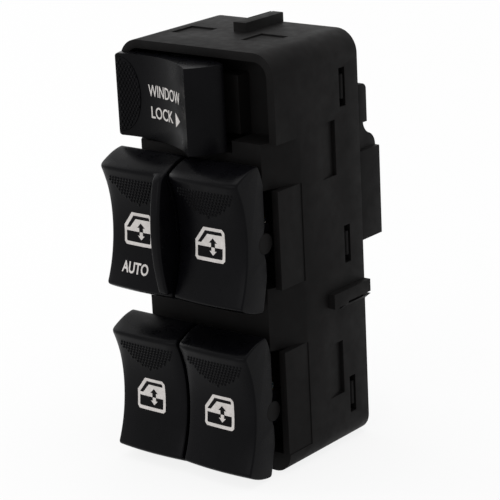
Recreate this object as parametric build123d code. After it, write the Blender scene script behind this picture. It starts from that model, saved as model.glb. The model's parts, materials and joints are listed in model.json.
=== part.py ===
from build123d import *
from math import cos, pi, radians, sin, sqrt, tan
import os

# A driver's window switch block, standing on its lower end as it would on a bench.
# X runs across the buttons, Y from the buttons (-Y) to the plug socket (+Y), Z up.
# The origin is the middle of the case's lower end. All sizes are in millimetres.

# Case shell
CASE_WALL = 2.2
TOP_CORNER = 6.0
FOOT_CORNER = 5.0
LEFT_MARGIN = 3.25
RIGHT_MARGIN = 2.05
SEAM_SETBACK = 9.4
STRIP_STEP = 0.25
DECK_SETBACK = 7.2
DECK_THICKNESS = 2.0
BAR_REACH = 1.2
BAR_RIGHT_INSET = 4.05
BAR_LEFT_INSET = 6.5

# Window rockers
ROCKER_WIDTH = 21.65
ROCKER_GAP = 0.9
LIP_RADIUS = 20.3
HEEL_RADIUS = 17.4
LIP_REACH = 10.9
HEEL_REACH = 10.8
HEEL_LIP = 0.66
FACE_HOLLOW = 3.5
CROWN_SETBACK = 1.6
CROWN_SOFTENING = 5.3
HEEL_SETBACK = 1.9
HEEL_SOFTENING = 8.4
SKIRT_SETBACK = 0.2
ROCKER_WALL = 1.8
FACE_WALL = 2.0
SIDE_BEVEL = 1.1

# Where the rows stand, and the openings below and above their pivots
FOOT_GAP = 0.6
ROW_GAP = 6.5
SILL_DROP = 12.8
LOWER_HEAD = 14.9
UPPER_HEAD = 12.65

# Pivots: pins on posts, notches in the rockers' walls and ears that snap on
PIVOT_REACH = 3.4
PIN_RADIUS = 2.6
PIN_CLEARANCE = 0.08
NOTCH_HALF = 6.6
NOTCH_SEAT = 2.1
NOTCH_SETBACK = 0.9
NOTCH_TAIL = 0.5
EAR_THICKNESS = 1.2
EAR_RADIUS = 4.2
EAR_TAIL = 3.4
EAR_SETBACK = 0.1
THROAT_HALF = 2.35
POST_GAP = 0.3
POST_THICKNESS = 2.2

# Guard fin along the driver's rocker
FIN_THICKNESS = 3.0
FIN_REACH = 14.2
FIN_TOP_REACH = 12.0
FIN_FOOT_REACH = 12.2
FIN_ROOT = 1.2
FIN_CREST_RISE = 1.8
FIN_HEAD_RISE = 1.2
FIN_HEAD_SETBACK = 2.6
FIN_SHOULDER = 0.4
FIN_BEVEL = 0.5

# Window lock button, which rocks about an upright axis
LOCK_HEIGHT = 22.1
LOCK_GAP = 1.2
LOCK_OVERLAP = 2.9
LOCK_TOP_GAP = 1.0
LOCK_PIVOT_INSET = 18.35
LOCK_PIVOT_SETBACK = 3.6
LOCK_RIGHT_RADIUS = 17.8
LOCK_LEFT_RADIUS = 18.4
LOCK_LEFT_REACH = 7.0
LOCK_RIGHT_REACH = 13.7
LOCK_HOLLOW = 3.7
LOCK_SHOULDER = 9.0
LOCK_BACK_REACH = 5.3
LOCK_LEFT_BACK = 4.6
LOCK_SHELF_GAP = 1.75
LOCK_TAIL = 2.7
LOCK_TAIL_REACH = 2.6
LOCK_SHELF_REACH = 0.6
LOCK_SLANT = 0.8
LOCK_NOTCH_HALF = 5.0
LOCK_OPEN_X = 2.0
LOCK_CLEARANCE = 0.3
TOWER_WIDTH = 6.0
TOWER_RISE = 4.3
TOWER_INSET = 3.6

# How far the buttons turn, in degrees
ROCKER_TRAVEL = 6.0
AUTO_TRAVEL = 9.0
LOCK_TRAVEL = 12.0

# Spring plungers in the buttons' stems, and the blades that they press on
STEM_WALL = 1.2
STEM_ROOT = 1.0
BORE_SKIN = 0.4
STEM_GAP = 2.5
LOCK_STEM_GAP = 1.8
LOCK_BORE_REACH = 5.4
PLUNGER_HALF = 2.3
PLUNGER_CLEARANCE = 0.1
NOSE_HALF = 0.7
NOSE_LENGTH = 3.4
TIP_REACH = 2.6
SLOT_CLEARANCE = 0.3
SPRING_SPACE = 6.0
LOCK_SPRING_SPACE = 3.8
SPRING_WIRE = 0.5
SPRING_TURNS = 4
SPRING_CORNERS = 8
SPRING_END_GAP = 0.15
TIP_CLEARANCE = 0.2
BLADE_THICKNESS = 0.6
BLADE_HALF = 6.6
BLADE_WIDTH = 5.0
BLADE_VEE = 7.0
TIP_WIDTH = 1.8
TIP_HEIGHT = 0.35

# Contact bases and their fixed contacts
FULCRUM_RISE = 7.6
BASE_MARGIN = 3.2
BASE_HEIGHT = 3.0
CHEEK_THICKNESS = 1.3
CHEEK_HALF = 2.0
CHEEK_GAP = 0.4
TERMINAL_WIDTH = 3.2
TERMINAL_THICKNESS = 0.8
TERMINAL_TAIL = 1.2
TERMINAL_CLEARANCE = 0.05
FIXED_SPACING = 5.4
CONTACT_GAP = 0.15
FULCRUM_GAP = 0.15

# Circuit board
BOARD_THICKNESS = 1.6
BOARD_EDGE_GAP = 0.8
BOARD_SPACE = 10.6
BOSS_RADIUS = 2.3
BOSS_PIN_RADIUS = 0.9
BOSS_PIN_TAIL = 0.8
BOSS_INSET_X = 5.7
BOSS_INSET_Z = 8.6
PROP_SPACING = 8.0
PROP_HALF = 1.6
LED_WIDTH = 3.0
LED_DEPTH = 1.6
LED_HEIGHT = 2.4
LED_RISE = 10.9
LIGHT_HALF = 2.0

# Rear cover with the plug shroud
COVER_THICKNESS = 2.0
COVER_GAP = 0.15
SHROUD_DROP = 11.6
SHROUD_RISE = 12.1
SHROUD_STEP = 3.5
SHROUD_REACH = 8.6
SHROUD_EDGE = 1.5
SHOULDER_RISE = 7.4
SHOULDER_INSET = 1.3
CAP_RISE = 10.2
SOCKET_SIDE = 6.25
SOCKET_HEIGHT = 16.0
SOCKET_DEPTH = 12.8
SOCKET_WALL = 2.0

# Plug pins
PIN_COLUMNS = 7
PIN_PITCH = 4.6
PIN_ROW_GAP = 2.4
PIN_WIDTH = 1.2
PIN_THICKNESS = 0.7
PIN_TIP_SETBACK = 5.3

# Latches, grips, pockets and mounting tabs of the case
WINDOW_INSET_FOOT = 13.05
WINDOW_INSET_TOP = 13.45
WINDOW_HALF = 5.0
WINDOW_INSET_BACK = 6.8
WINDOW_WIDTH = 2.5
LATCH_HALF = 3.2
LATCH_ARM = 1.4
LATCH_TIP = 0.35
LATCH_CREST = 0.9
GRIP_INSET_FOOT = 21.8
GRIP_INSET_TOP = 28.35
GRIP_HALF = 7.2
GRIP_INSET_BACK = 10.4
GRIP_WIDTH = 6.0
GRIP_DEPTH = 1.1
TAB_WIDTH = 3.9
TAB_PROUD = 1.9
TOP_TAB_PROUD = 2.5
TAB_LENGTH = 15.7
TAB_SLIT = 0.6
TAB_SLIT_LENGTH = 9.8
TAB_ROOT = 1.2
TAB_LEDGE = 1.6
TOP_TAB_X = -0.25
POCKET_WIDTH = 8.6
POCKET_LENGTH = 8.6
POCKET_DEPTH = 0.45
POCKET_INSET_LEFT = 12.0
POCKET_INSET_RIGHT = 14.6
POCKET_SETBACK = 15.6

# Derived sizes of the whole
CASE_WIDTH = LEFT_MARGIN + 2 * ROCKER_WIDTH + ROCKER_GAP + RIGHT_MARGIN
ROW_PITCH = LIP_RADIUS + HEEL_RADIUS + ROW_GAP
ROW_HEIGHTS = (HEEL_RADIUS + FOOT_GAP, HEEL_RADIUS + FOOT_GAP + ROW_PITCH)
LOCK_FOOT = ROW_HEIGHTS[1] + LIP_RADIUS + LOCK_GAP
LOCK_TOP = LOCK_FOOT + LOCK_HEIGHT
CASE_HEIGHT = LOCK_TOP + LOCK_TOP_GAP + CASE_WALL
TIP_SETBACK = DECK_SETBACK + DECK_THICKNESS + TIP_REACH
BOARD_SETBACK = TIP_SETBACK + TIP_CLEARANCE + BLADE_THICKNESS + FULCRUM_RISE
CASE_DEPTH = BOARD_SETBACK + BOARD_THICKNESS + BOARD_SPACE + COVER_THICKNESS

# Derived places
RIM_Y = -CASE_DEPTH / 2
BACK_Y = CASE_DEPTH / 2
SIDE_X = CASE_WIDTH / 2
FOOT_SILL = ROW_HEIGHTS[0] - SILL_DROP
LOWER_BAR_FOOT = ROW_HEIGHTS[0] + LOWER_HEAD
LOWER_BAR_TOP = ROW_HEIGHTS[1] - SILL_DROP
UPPER_BAR_FOOT = ROW_HEIGHTS[1] + UPPER_HEAD
UPPER_BAR_TOP = LOCK_FOOT + LOCK_OVERLAP
OPENINGS = ((FOOT_SILL, LOWER_BAR_FOOT), (LOWER_BAR_TOP, UPPER_BAR_FOOT))
SEAM_Y = RIM_Y + SEAM_SETBACK
DECK_Y = RIM_Y + DECK_SETBACK
DECK_BACK_Y = DECK_Y + DECK_THICKNESS
PIVOT_Y = RIM_Y - PIVOT_REACH
LOCK_PIVOT_X = LOCK_PIVOT_INSET - SIDE_X
LOCK_PIVOT_Y = RIM_Y + LOCK_PIVOT_SETBACK
LOCK_SHELF = LOCK_PIVOT_INSET - CASE_WALL - LOCK_SHELF_GAP
LOCK_Z = (LOCK_FOOT + LOCK_TOP) / 2
RELIEF_Z = LOCK_FOOT - LOCK_CLEARANCE
TIP_Y = RIM_Y + TIP_SETBACK
FULCRUM_Y = TIP_Y + TIP_CLEARANCE + BLADE_THICKNESS
BOARD_Y = RIM_Y + BOARD_SETBACK
BOARD_BACK_Y = BOARD_Y + BOARD_THICKNESS
COVER_Y = BACK_Y - COVER_THICKNESS
WINDOW_Y = BACK_Y - WINDOW_INSET_BACK
HOLE_RADIUS = PIN_RADIUS + PIN_CLEARANCE
BORE_HALF = PLUNGER_HALF + PLUNGER_CLEARANCE
STEM_HALF = BORE_HALF + STEM_WALL
STEM_TAIL = DECK_Y - PIVOT_Y - STEM_GAP
LOCK_STEM_TAIL = DECK_Y - LOCK_PIVOT_Y - LOCK_STEM_GAP
LIP_HEIGHT = sqrt(LIP_RADIUS**2 - LIP_REACH**2)
HEEL_DROP = sqrt(HEEL_RADIUS**2 - HEEL_REACH**2) + HEEL_LIP
FACE_MIDDLE = FACE_HOLLOW - (LIP_REACH + HEEL_REACH) / 2
BORE_FLOOR = FACE_MIDDLE + FACE_WALL + BORE_SKIN
PIN_Z = ROW_HEIGHTS[1] + FIXED_SPACING / 2
SHROUD_FOOT = PIN_Z - SHROUD_DROP
SHROUD_SHOULDER = PIN_Z + SHROUD_RISE
SHROUD_NECK = SHROUD_SHOULDER + SHOULDER_RISE
SHROUD_TOP = SHROUD_NECK + CAP_RISE
SHROUD_Y = BACK_Y + SHROUD_REACH
SOCKET_FLOOR_Y = SHROUD_Y - SOCKET_DEPTH
TAB_HEIGHT = (LOWER_BAR_FOOT + LOWER_BAR_TOP) / 2
LOWEST_WINDOW = WINDOW_INSET_FOOT
HIGHEST_WINDOW = CASE_HEIGHT - WINDOW_INSET_TOP
WINDOW_HEIGHTS = (LOWEST_WINDOW, (LOWEST_WINDOW + HIGHEST_WINDOW) / 2, HIGHEST_WINDOW)
GRIP_HEIGHTS = (GRIP_INSET_FOOT, CASE_HEIGHT - GRIP_INSET_TOP)
FIRST_COLUMN = -SIDE_X + LEFT_MARGIN + ROCKER_WIDTH / 2
COLUMN_CENTRES = (FIRST_COLUMN, FIRST_COLUMN + ROCKER_WIDTH + ROCKER_GAP)
ROCKERS = {
    "driver": (COLUMN_CENTRES[0], ROW_HEIGHTS[1]),
    "passenger": (COLUMN_CENTRES[1], ROW_HEIGHTS[1]),
    "rear_left": (COLUMN_CENTRES[0], ROW_HEIGHTS[0]),
    "rear_right": (COLUMN_CENTRES[1], ROW_HEIGHTS[0]),
}


# Shape helpers
def block(x0, x1, y0, y1, z0, z1):
    """A box between two corners."""
    middle = ((x0 + x1) / 2, (y0 + y1) / 2, (z0 + z1) / 2)
    return Pos(*middle) * Box(x1 - x0, y1 - y0, z1 - z0)


def along_x(face, x0, x1):
    """Extrudes a face drawn with (Y, Z) across X."""
    return extrude(Plane.YZ.offset(x0) * face, x1 - x0)


def along_y(face, y0, y1):
    """Extrudes a face drawn with (X, Z) along Y."""
    front = Plane((0, y0, 0), x_dir=(1, 0, 0), z_dir=(0, -1, 0))
    return extrude(front * face, y0 - y1)


def along_z(face, z0, z1):
    """Extrudes a face drawn with (X, Y) up Z."""
    return extrude(Plane.XY.offset(z0) * face, z1 - z0)


def rod_x(y, z, radius, x0, x1):
    """A round bar across X."""
    return along_x(Pos(y, z) * Circle(radius), x0, x1)


def rod_y(x, z, radius, y0, y1):
    """A round bar along Y."""
    return along_y(Pos(x, z) * Circle(radius), y0, y1)


def polygon(*points):
    """A face inside straight lines."""
    return make_face(Polyline(*points, close=True))


def on_arc(radius, reach):
    """The height at which a circle about the pivot reaches that far forward."""
    return sqrt(radius**2 - reach**2)


# Case
def case_outline(inset=0.0):
    """The case seen from the front: rounder at the top than at the foot."""
    height = CASE_HEIGHT - 2 * inset
    face = Pos(0, CASE_HEIGHT / 2) * Rectangle(CASE_WIDTH - 2 * inset, height)
    corners = face.vertices().group_by(Axis.Y)
    face = fillet(corners[-1], TOP_CORNER - inset)
    return fillet(face.vertices().group_by(Axis.Y)[0], FOOT_CORNER - inset)


def bar(foot, top):
    """A cross bar between two openings, with sides that slant back to the seam."""
    front = RIM_Y - BAR_REACH
    plan = polygon(
        (SIDE_X, SEAM_Y),
        (SIDE_X - BAR_RIGHT_INSET, front),
        (BAR_LEFT_INSET - SIDE_X, front),
        (-SIDE_X, SEAM_Y),
    )
    return along_z(plan, foot, top)


def bar_hollow(foot, top):
    """The space behind a cross bar, open to the inside of the case."""
    x0 = BAR_LEFT_INSET - SIDE_X + CASE_WALL
    x1 = SIDE_X - BAR_RIGHT_INSET - CASE_WALL
    y0 = RIM_Y - BAR_REACH + CASE_WALL
    return block(x0, x1, y0, DECK_BACK_Y, foot + CASE_WALL, top - CASE_WALL)


def lock_relief():
    """The cut in the upper bar that the lock button's lower wall swings in."""
    x0 = LOCK_PIVOT_X - LOCK_SHELF - LOCK_CLEARANCE
    x1 = LOCK_PIVOT_X + LOCK_RIGHT_RADIUS + LOCK_CLEARANCE
    return block(x0, x1, RIM_Y - BAR_REACH, DECK_Y, RELIEF_Z, UPPER_BAR_TOP)


def front_walls():
    """The lock's rim, the foot, the side strips beside the rockers and the bars."""
    outline = case_outline()
    whole = along_y(outline, RIM_Y, SEAM_Y)
    rim = whole & block(-SIDE_X, SIDE_X, RIM_Y, SEAM_Y, UPPER_BAR_TOP, CASE_HEIGHT)
    foot = whole & block(-SIDE_X, SIDE_X, RIM_Y, SEAM_Y, 0, FOOT_SILL)
    walls = rim + foot
    strip_x = SIDE_X - STRIP_STEP
    for sill, head in OPENINGS:
        walls += block(-strip_x, strip_x, RIM_Y, SEAM_Y, sill, head)
    walls += bar(LOWER_BAR_FOOT, LOWER_BAR_TOP)
    walls += bar(UPPER_BAR_FOOT, UPPER_BAR_TOP)
    return walls


def well(sill, head):
    """The space in front of the deck, behind one row of buttons."""
    inner_x = SIDE_X - CASE_WALL
    return block(-inner_x, inner_x, RIM_Y - BAR_REACH, DECK_Y, sill, head)


def rocker_post(side, x_middle, z):
    """A post that rises from the deck inside a rocker and carries its pivot pin."""
    wall_x = ROCKER_WIDTH / 2 - ROCKER_WALL - EAR_THICKNESS - POST_GAP
    x0, x1 = sorted((x_middle + side * (wall_x - POST_THICKNESS), x_middle + side * wall_x))
    shape = Pos(PIVOT_Y, z) * Circle(PIN_RADIUS)
    length = DECK_Y - PIVOT_Y
    shape += Pos(PIVOT_Y + length / 2, z) * Rectangle(length, 2 * PIN_RADIUS)
    p0, p1 = sorted((x_middle + side * wall_x, x_middle + side * ROCKER_WIDTH / 2))
    return along_x(shape, x0, x1) + rod_x(PIVOT_Y, z, PIN_RADIUS, p0, p1)


def lock_posts():
    """The two posts of the lock button, with pins that point up and down."""
    wall = ROCKER_WALL + EAR_THICKNESS + POST_GAP
    shape = Pos(LOCK_PIVOT_X, LOCK_PIVOT_Y) * Circle(PIN_RADIUS)
    length = DECK_Y - LOCK_PIVOT_Y
    shape += Pos(LOCK_PIVOT_X, LOCK_PIVOT_Y + length / 2) * Rectangle(2 * PIN_RADIUS, length)
    pin = Pos(LOCK_PIVOT_X, LOCK_PIVOT_Y) * Circle(PIN_RADIUS)
    posts = along_z(shape, LOCK_FOOT + wall, LOCK_FOOT + wall + POST_THICKNESS)
    posts += along_z(pin, LOCK_FOOT, LOCK_FOOT + wall)
    posts += along_z(shape, LOCK_TOP - wall - POST_THICKNESS, LOCK_TOP - wall)
    posts += along_z(pin, LOCK_TOP - wall, LOCK_TOP)
    return posts


def lock_tower():
    """The stop that the lock button's right end comes down on."""
    x1 = LOCK_PIVOT_X + LOCK_RIGHT_RADIUS
    foot = LOCK_FOOT + TOWER_INSET
    return block(x1 - TOWER_WIDTH, x1, DECK_Y - TOWER_RISE, DECK_Y, foot, LOCK_TOP - TOWER_INSET)


def light_window(x, z):
    """A square window in the deck in front of a backlight."""
    half = LIGHT_HALF
    return block(x - half, x + half, DECK_Y, DECK_BACK_Y, z - half, z + half)


def deck_holes():
    """Slots that the plungers swing in, and windows for the lights."""
    width = PLUNGER_HALF + SLOT_CLEARANCE
    swing = sin(radians(AUTO_TRAVEL)) * (DECK_BACK_Y - PIVOT_Y) + width
    left, right = LOCK_PIVOT_X - swing, LOCK_PIVOT_X + swing
    holes = block(left, right, DECK_Y, DECK_BACK_Y, LOCK_Z - width, LOCK_Z + width)
    holes += light_window(LOCK_PIVOT_X + LED_RISE, LOCK_Z)
    for x, z in ROCKERS.values():
        holes += block(x - width, x + width, DECK_Y, DECK_BACK_Y, z - swing, z + swing)
        holes += light_window(x, z + LED_RISE)
    return holes


def board_bosses():
    """Four bosses behind the deck, each with a pin that is staked over the board."""
    x = SIDE_X - BOSS_INSET_X
    bosses = []
    for side in (-1, 1):
        for z in (BOSS_INSET_Z, CASE_HEIGHT - BOSS_INSET_Z):
            bosses.append(rod_y(side * x, z, BOSS_RADIUS, DECK_BACK_Y, BOARD_Y))
            tail = BOARD_BACK_Y + BOSS_PIN_TAIL
            bosses.append(rod_y(side * x, z, BOSS_PIN_RADIUS, BOARD_Y, tail))
    return bosses


def side_grip(side, z):
    """A finger recess in a side wall that deepens to a sharp rear edge."""
    y1 = BACK_Y - GRIP_INSET_BACK
    y0 = y1 - GRIP_WIDTH
    beyond = SIDE_X + GRIP_DEPTH
    plan = polygon((SIDE_X, y0), (SIDE_X - GRIP_DEPTH, y1), (beyond, y1), (beyond, y0))
    cutter = along_z(plan, z - GRIP_HALF, z + GRIP_HALF)
    return cutter if side > 0 else mirror(cutter, Plane.YZ)


def mounting_tab(proud):
    """A raised tab on the right side, slit so that its rear end can flex."""
    y0 = BACK_Y - TAB_LENGTH
    x1 = SIDE_X + proud
    z0 = TAB_HEIGHT - TAB_WIDTH / 2
    slit_y = BACK_Y - TAB_SLIT_LENGTH
    tab = block(SIDE_X, x1, y0, BACK_Y, z0, z0 + TAB_WIDTH)
    ledge = polygon((SIDE_X, z0 - TAB_LEDGE), (x1, z0), (SIDE_X, z0))
    tab += along_y(ledge, slit_y - TAB_ROOT, BACK_Y)
    return tab - block(SIDE_X, x1, slit_y, BACK_Y, z0, z0 + TAB_SLIT)


def top_tab():
    """The same tab on the upper end, a little taller and slit along its left edge."""
    tab = Pos(-SIDE_X, 0, -TAB_HEIGHT) * mounting_tab(TOP_TAB_PROUD)
    tab = mirror(Rot(0, -90, 0) * tab, Plane.YZ)
    return Pos(TOP_TAB_X, 0, CASE_HEIGHT) * tab


def top_pockets():
    """The two shallow recesses in the upper end."""
    y0 = RIM_Y + POCKET_SETBACK - POCKET_LENGTH / 2
    floor = CASE_HEIGHT - POCKET_DEPTH
    pockets = []
    for x in (POCKET_INSET_LEFT - SIDE_X, SIDE_X - POCKET_INSET_RIGHT):
        half = POCKET_WIDTH / 2
        pockets.append(block(x - half, x + half, y0, y0 + POCKET_LENGTH, floor, CASE_HEIGHT))
    return pockets


def case():
    """The moulded shell with its deck, pivot posts, wells, windows and tabs."""
    shell = along_y(case_outline(), SEAM_Y, BACK_Y) + front_walls()
    shell -= along_y(case_outline(CASE_WALL), DECK_BACK_Y, BACK_Y)
    for sill, head in OPENINGS:
        shell -= well(sill, head)
    shell -= well(UPPER_BAR_TOP, CASE_HEIGHT - CASE_WALL) & along_y(
        case_outline(CASE_WALL), RIM_Y - BAR_REACH, DECK_Y
    )
    shell -= bar_hollow(LOWER_BAR_FOOT, LOWER_BAR_TOP)
    shell -= bar_hollow(UPPER_BAR_FOOT, RELIEF_Z)
    shell -= lock_relief()
    shell -= deck_holes()
    y0, y1 = WINDOW_Y - WINDOW_WIDTH / 2, WINDOW_Y + WINDOW_WIDTH / 2
    for z in WINDOW_HEIGHTS:
        shell -= block(-SIDE_X, SIDE_X, y0, y1, z - WINDOW_HALF, z + WINDOW_HALF)
    for side in (-1, 1):
        for z in GRIP_HEIGHTS:
            shell -= side_grip(side, z)
    shell -= top_pockets()
    for x, z in ROCKERS.values():
        for side in (-1, 1):
            shell += rocker_post(side, x, z)
    shell += lock_posts()
    shell += lock_tower()
    shell += board_bosses()
    tab = mounting_tab(TAB_PROUD)
    shell += [tab, mirror(tab, Plane.YZ), top_tab()]
    return shell


# Window rockers
def face_arc(lip, heel):
    """The hollow front of a rocker, from its lip down to its heel."""
    middle = ((lip[0] + heel[0]) / 2 + FACE_HOLLOW, (lip[1] + heel[1]) / 2)
    return ThreePointArc(lip, middle, heel)


def rocker_side():
    """The rocker's outline from the side, about its pivot, drawn with (Y, Z)."""
    skirt = SKIRT_SETBACK
    lip = (-LIP_REACH, LIP_HEIGHT)
    heel = (-HEEL_REACH, -HEEL_DROP)
    crown_end = (-CROWN_SETBACK, on_arc(LIP_RADIUS, CROWN_SETBACK))
    heel_end = (-HEEL_SETBACK, -on_arc(HEEL_RADIUS, HEEL_SETBACK))
    crown_middle = (LIP_REACH + CROWN_SETBACK) / 2
    heel_middle = (HEEL_REACH + HEEL_SETBACK) / 2
    heel_bulge = -on_arc(HEEL_RADIUS, heel_middle) - HEEL_LIP / 2
    head = (skirt, LIP_RADIUS - CROWN_SOFTENING)
    foot = (skirt, HEEL_SOFTENING - HEEL_RADIUS)
    soft = ((head[0] + crown_end[0]) / 2 + SKIRT_SETBACK, (head[1] + crown_end[1]) / 2)
    lines = [
        face_arc(lip, heel),
        ThreePointArc(heel, (-heel_middle, heel_bulge), heel_end),
        Line(heel_end, foot),
        Line(foot, head),
        ThreePointArc(head, soft, crown_end),
        ThreePointArc(crown_end, (-crown_middle, on_arc(LIP_RADIUS, crown_middle)), lip),
    ]
    return make_face(lines)


def rocker_inside():
    """The rocker's inner outline, open to the back."""
    lip_radius = LIP_RADIUS - ROCKER_WALL
    heel_radius = HEEL_RADIUS - ROCKER_WALL
    lip_reach = LIP_REACH - FACE_WALL
    heel_reach = HEEL_REACH - FACE_WALL
    lip = (-lip_reach, on_arc(lip_radius, lip_reach))
    heel = (-heel_reach, -on_arc(heel_radius, heel_reach))
    open_y = SKIRT_SETBACK + ROCKER_WALL
    lip_middle = (lip_reach - open_y) / 2
    heel_middle = (heel_reach - open_y) / 2
    top = (open_y, on_arc(lip_radius, open_y))
    foot = (open_y, -on_arc(heel_radius, open_y))
    lines = [
        face_arc(lip, heel),
        ThreePointArc(heel, (-heel_middle, -on_arc(heel_radius, heel_middle)), foot),
        Line(foot, top),
        ThreePointArc(top, (-lip_middle, on_arc(lip_radius, lip_middle)), lip),
    ]
    return make_face(lines)


def pivot_notch(half, tail):
    """The flared notch that drops over a pivot pin, drawn with (back, across)."""
    seat = NOTCH_SEAT
    start = -NOTCH_SETBACK
    flare = polygon((tail, half), (start, seat), (start, -seat), (tail, -half))
    return flare + Circle(HOLE_RADIUS)


def bearing_ear(flat):
    """The inner ear that snaps over the pin and holds it."""
    plate = Pos((flat - EAR_RADIUS) / 2, 0) * Rectangle(flat + EAR_RADIUS, 2 * EAR_RADIUS)
    plate -= Circle(HOLE_RADIUS)
    return plate - Pos(EAR_RADIUS, 0) * Rectangle(2 * EAR_RADIUS, 2 * THROAT_HALF)


def edges_near(solid, *points):
    """The edge of a solid whose middle lies nearest to each point."""
    found = []
    for point in points:
        found.append(min(solid.edges(), key=lambda e: (e.position_at(0.5) - Vector(*point)).length))
    return found


def rocker_shell():
    """One rocker about its pivot at the origin, still solid, with its sides bevelled."""
    half = ROCKER_WIDTH / 2
    solid = along_x(rocker_side(), -half, half)
    middle = (FACE_MIDDLE, (LIP_HEIGHT - HEEL_DROP) / 2)
    return chamfer(edges_near(solid, (half, *middle), (-half, *middle)), SIDE_BEVEL)


def hollow_out(solid):
    """Opens the rocker from behind and cuts the notches over its pins."""
    half = ROCKER_WIDTH / 2
    solid -= along_x(rocker_inside(), ROCKER_WALL - half, half - ROCKER_WALL)
    solid -= along_x(pivot_notch(NOTCH_HALF, NOTCH_TAIL), -half, half)
    ear = bearing_ear(EAR_TAIL)
    inner = half - ROCKER_WALL
    solid += along_x(ear, inner - EAR_THICKNESS, inner)
    solid += along_x(ear, -inner, EAR_THICKNESS - inner)
    return solid


def rocker_stem():
    """The square stem and its bore, which guides the spring plunger."""
    half = STEM_HALF
    stem = block(-half, half, BORE_FLOOR - STEM_ROOT, STEM_TAIL, -half, half)
    half = BORE_HALF
    return stem, block(-half, half, BORE_FLOOR, STEM_TAIL, -half, half)


def guard_fin():
    """The driver's raised fin, one moulding with the rocker, at its right edge."""
    x1 = ROCKER_WIDTH / 2
    head = (FIN_HEAD_SETBACK - LIP_REACH, LIP_HEIGHT + FIN_HEAD_RISE)
    top = (-FIN_TOP_REACH, LIP_HEIGHT - FIN_SHOULDER)
    crest = (-FIN_REACH, FIN_CREST_RISE)
    foot = (-FIN_FOOT_REACH, FIN_BEVEL - HEEL_DROP)
    heel = (-HEEL_REACH, -HEEL_DROP)
    root_foot = (FIN_ROOT - HEEL_REACH, FIN_SHOULDER - HEEL_DROP)
    root_middle = (FACE_HOLLOW + FIN_ROOT - LIP_REACH, FIN_CREST_RISE)
    root_head = (FIN_ROOT - LIP_REACH, LIP_HEIGHT - FIN_ROOT)
    lines = [
        Line(head, top),
        ThreePointArc(top, crest, foot),
        Line(foot, heel),
        Line(heel, root_foot),
        ThreePointArc(root_foot, root_middle, root_head),
        Line(root_head, head),
    ]
    fin = along_x(make_face(lines), x1 - FIN_THICKNESS, x1)
    return chamfer(edges_near(fin, (x1, *crest), (x1 - FIN_THICKNESS, *crest)), FIN_BEVEL)


def window_rocker(name):
    """A finished rocker at its place in the case."""
    x, z = ROCKERS[name]
    solid = rocker_shell()
    if name == "driver":
        solid += guard_fin()
    solid = hollow_out(solid)
    stem, bore = rocker_stem()
    solid = solid + stem - bore
    return Pos(x, PIVOT_Y, z) * solid


# Lock button
def lock_plan(inset=0.0):
    """The lock button from above, about its pivot, drawn with (X, Y)."""
    left_radius = LOCK_LEFT_RADIUS - inset
    right_radius = LOCK_RIGHT_RADIUS - inset
    left_reach = LOCK_LEFT_REACH - inset
    right_reach = LOCK_RIGHT_REACH - inset
    wing_reach = LOCK_LEFT_BACK - inset
    left = Vector(-on_arc(left_radius, left_reach), -left_reach)
    right = Vector(on_arc(right_radius, right_reach), -right_reach)
    run = right - left
    into = Vector(-run.Y, run.X).normalized()
    middle = (left + right) * 0.5 + into * LOCK_HOLLOW
    right_back = (on_arc(right_radius, LOCK_BACK_REACH), -LOCK_BACK_REACH)
    left_back = (-on_arc(left_radius, wing_reach), -wing_reach)
    shoulder = (on_arc(right_radius, LOCK_SHOULDER), -LOCK_SHOULDER)
    left_middle = (left_reach + wing_reach) / 2
    tail = LOCK_TAIL + inset
    shelf = inset - LOCK_SHELF
    lines = [
        ThreePointArc(left, middle, right),
        ThreePointArc(right, shoulder, right_back),
        Line(right_back, (LOCK_TAIL_REACH, tail)),
        Line((LOCK_TAIL_REACH, tail), (shelf + LOCK_SHELF_GAP, tail)),
        Line((shelf + LOCK_SHELF_GAP, tail), (shelf, -LOCK_SHELF_REACH)),
        Line((shelf, -LOCK_SHELF_REACH), (shelf, -wing_reach)),
        Line((shelf, -wing_reach), left_back),
        ThreePointArc(left_back, (-on_arc(left_radius, left_middle), -left_middle), left),
    ]
    return make_face(lines)


def lock_slant():
    """The wedge cut off the button's foot, which rises towards its left end."""
    left = -LOCK_LEFT_RADIUS
    wedge = polygon(
        (left, LOCK_FOOT), (LOCK_RIGHT_REACH, LOCK_FOOT), (left, LOCK_FOOT + LOCK_SLANT)
    )
    return along_y(wedge, -LOCK_LEFT_RADIUS, LOCK_TAIL)


def lock_stem():
    """The lock's plunger guide, which leans by half the button's travel."""
    lean = Rot(0, 0, -LOCK_TRAVEL / 2)
    half = STEM_HALF
    root = -LOCK_BORE_REACH - STEM_ROOT
    stem = lean * block(-half, half, root, LOCK_STEM_TAIL, LOCK_Z - half, LOCK_Z + half)
    half = BORE_HALF
    root = -LOCK_BORE_REACH
    bore = lean * block(-half, half, root, LOCK_STEM_TAIL, LOCK_Z - half, LOCK_Z + half)
    return stem, bore


def lock_button():
    """The latching lock button, hollow, with ears on its upper and lower walls."""
    foot = LOCK_FOOT + ROCKER_WALL
    head = LOCK_TOP - ROCKER_WALL
    solid = along_z(lock_plan(), LOCK_FOOT, LOCK_TOP)
    solid -= along_z(lock_plan(ROCKER_WALL), foot, head)
    solid -= block(LOCK_OPEN_X, LOCK_RIGHT_RADIUS, -LOCK_BACK_REACH, LOCK_TAIL, foot, head)
    solid -= lock_slant()
    notch = Rot(0, 0, 90) * pivot_notch(LOCK_NOTCH_HALF, LOCK_TAIL + EAR_SETBACK)
    solid -= along_z(notch, LOCK_FOOT, LOCK_TOP)
    ear = Rot(0, 0, 90) * bearing_ear(LOCK_TAIL - EAR_SETBACK)
    solid += along_z(ear, foot, foot + EAR_THICKNESS)
    solid += along_z(ear, head - EAR_THICKNESS, head)
    stem, bore = lock_stem()
    solid = solid + stem - bore
    return Pos(LOCK_PIVOT_X, LOCK_PIVOT_Y, 0) * solid


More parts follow.
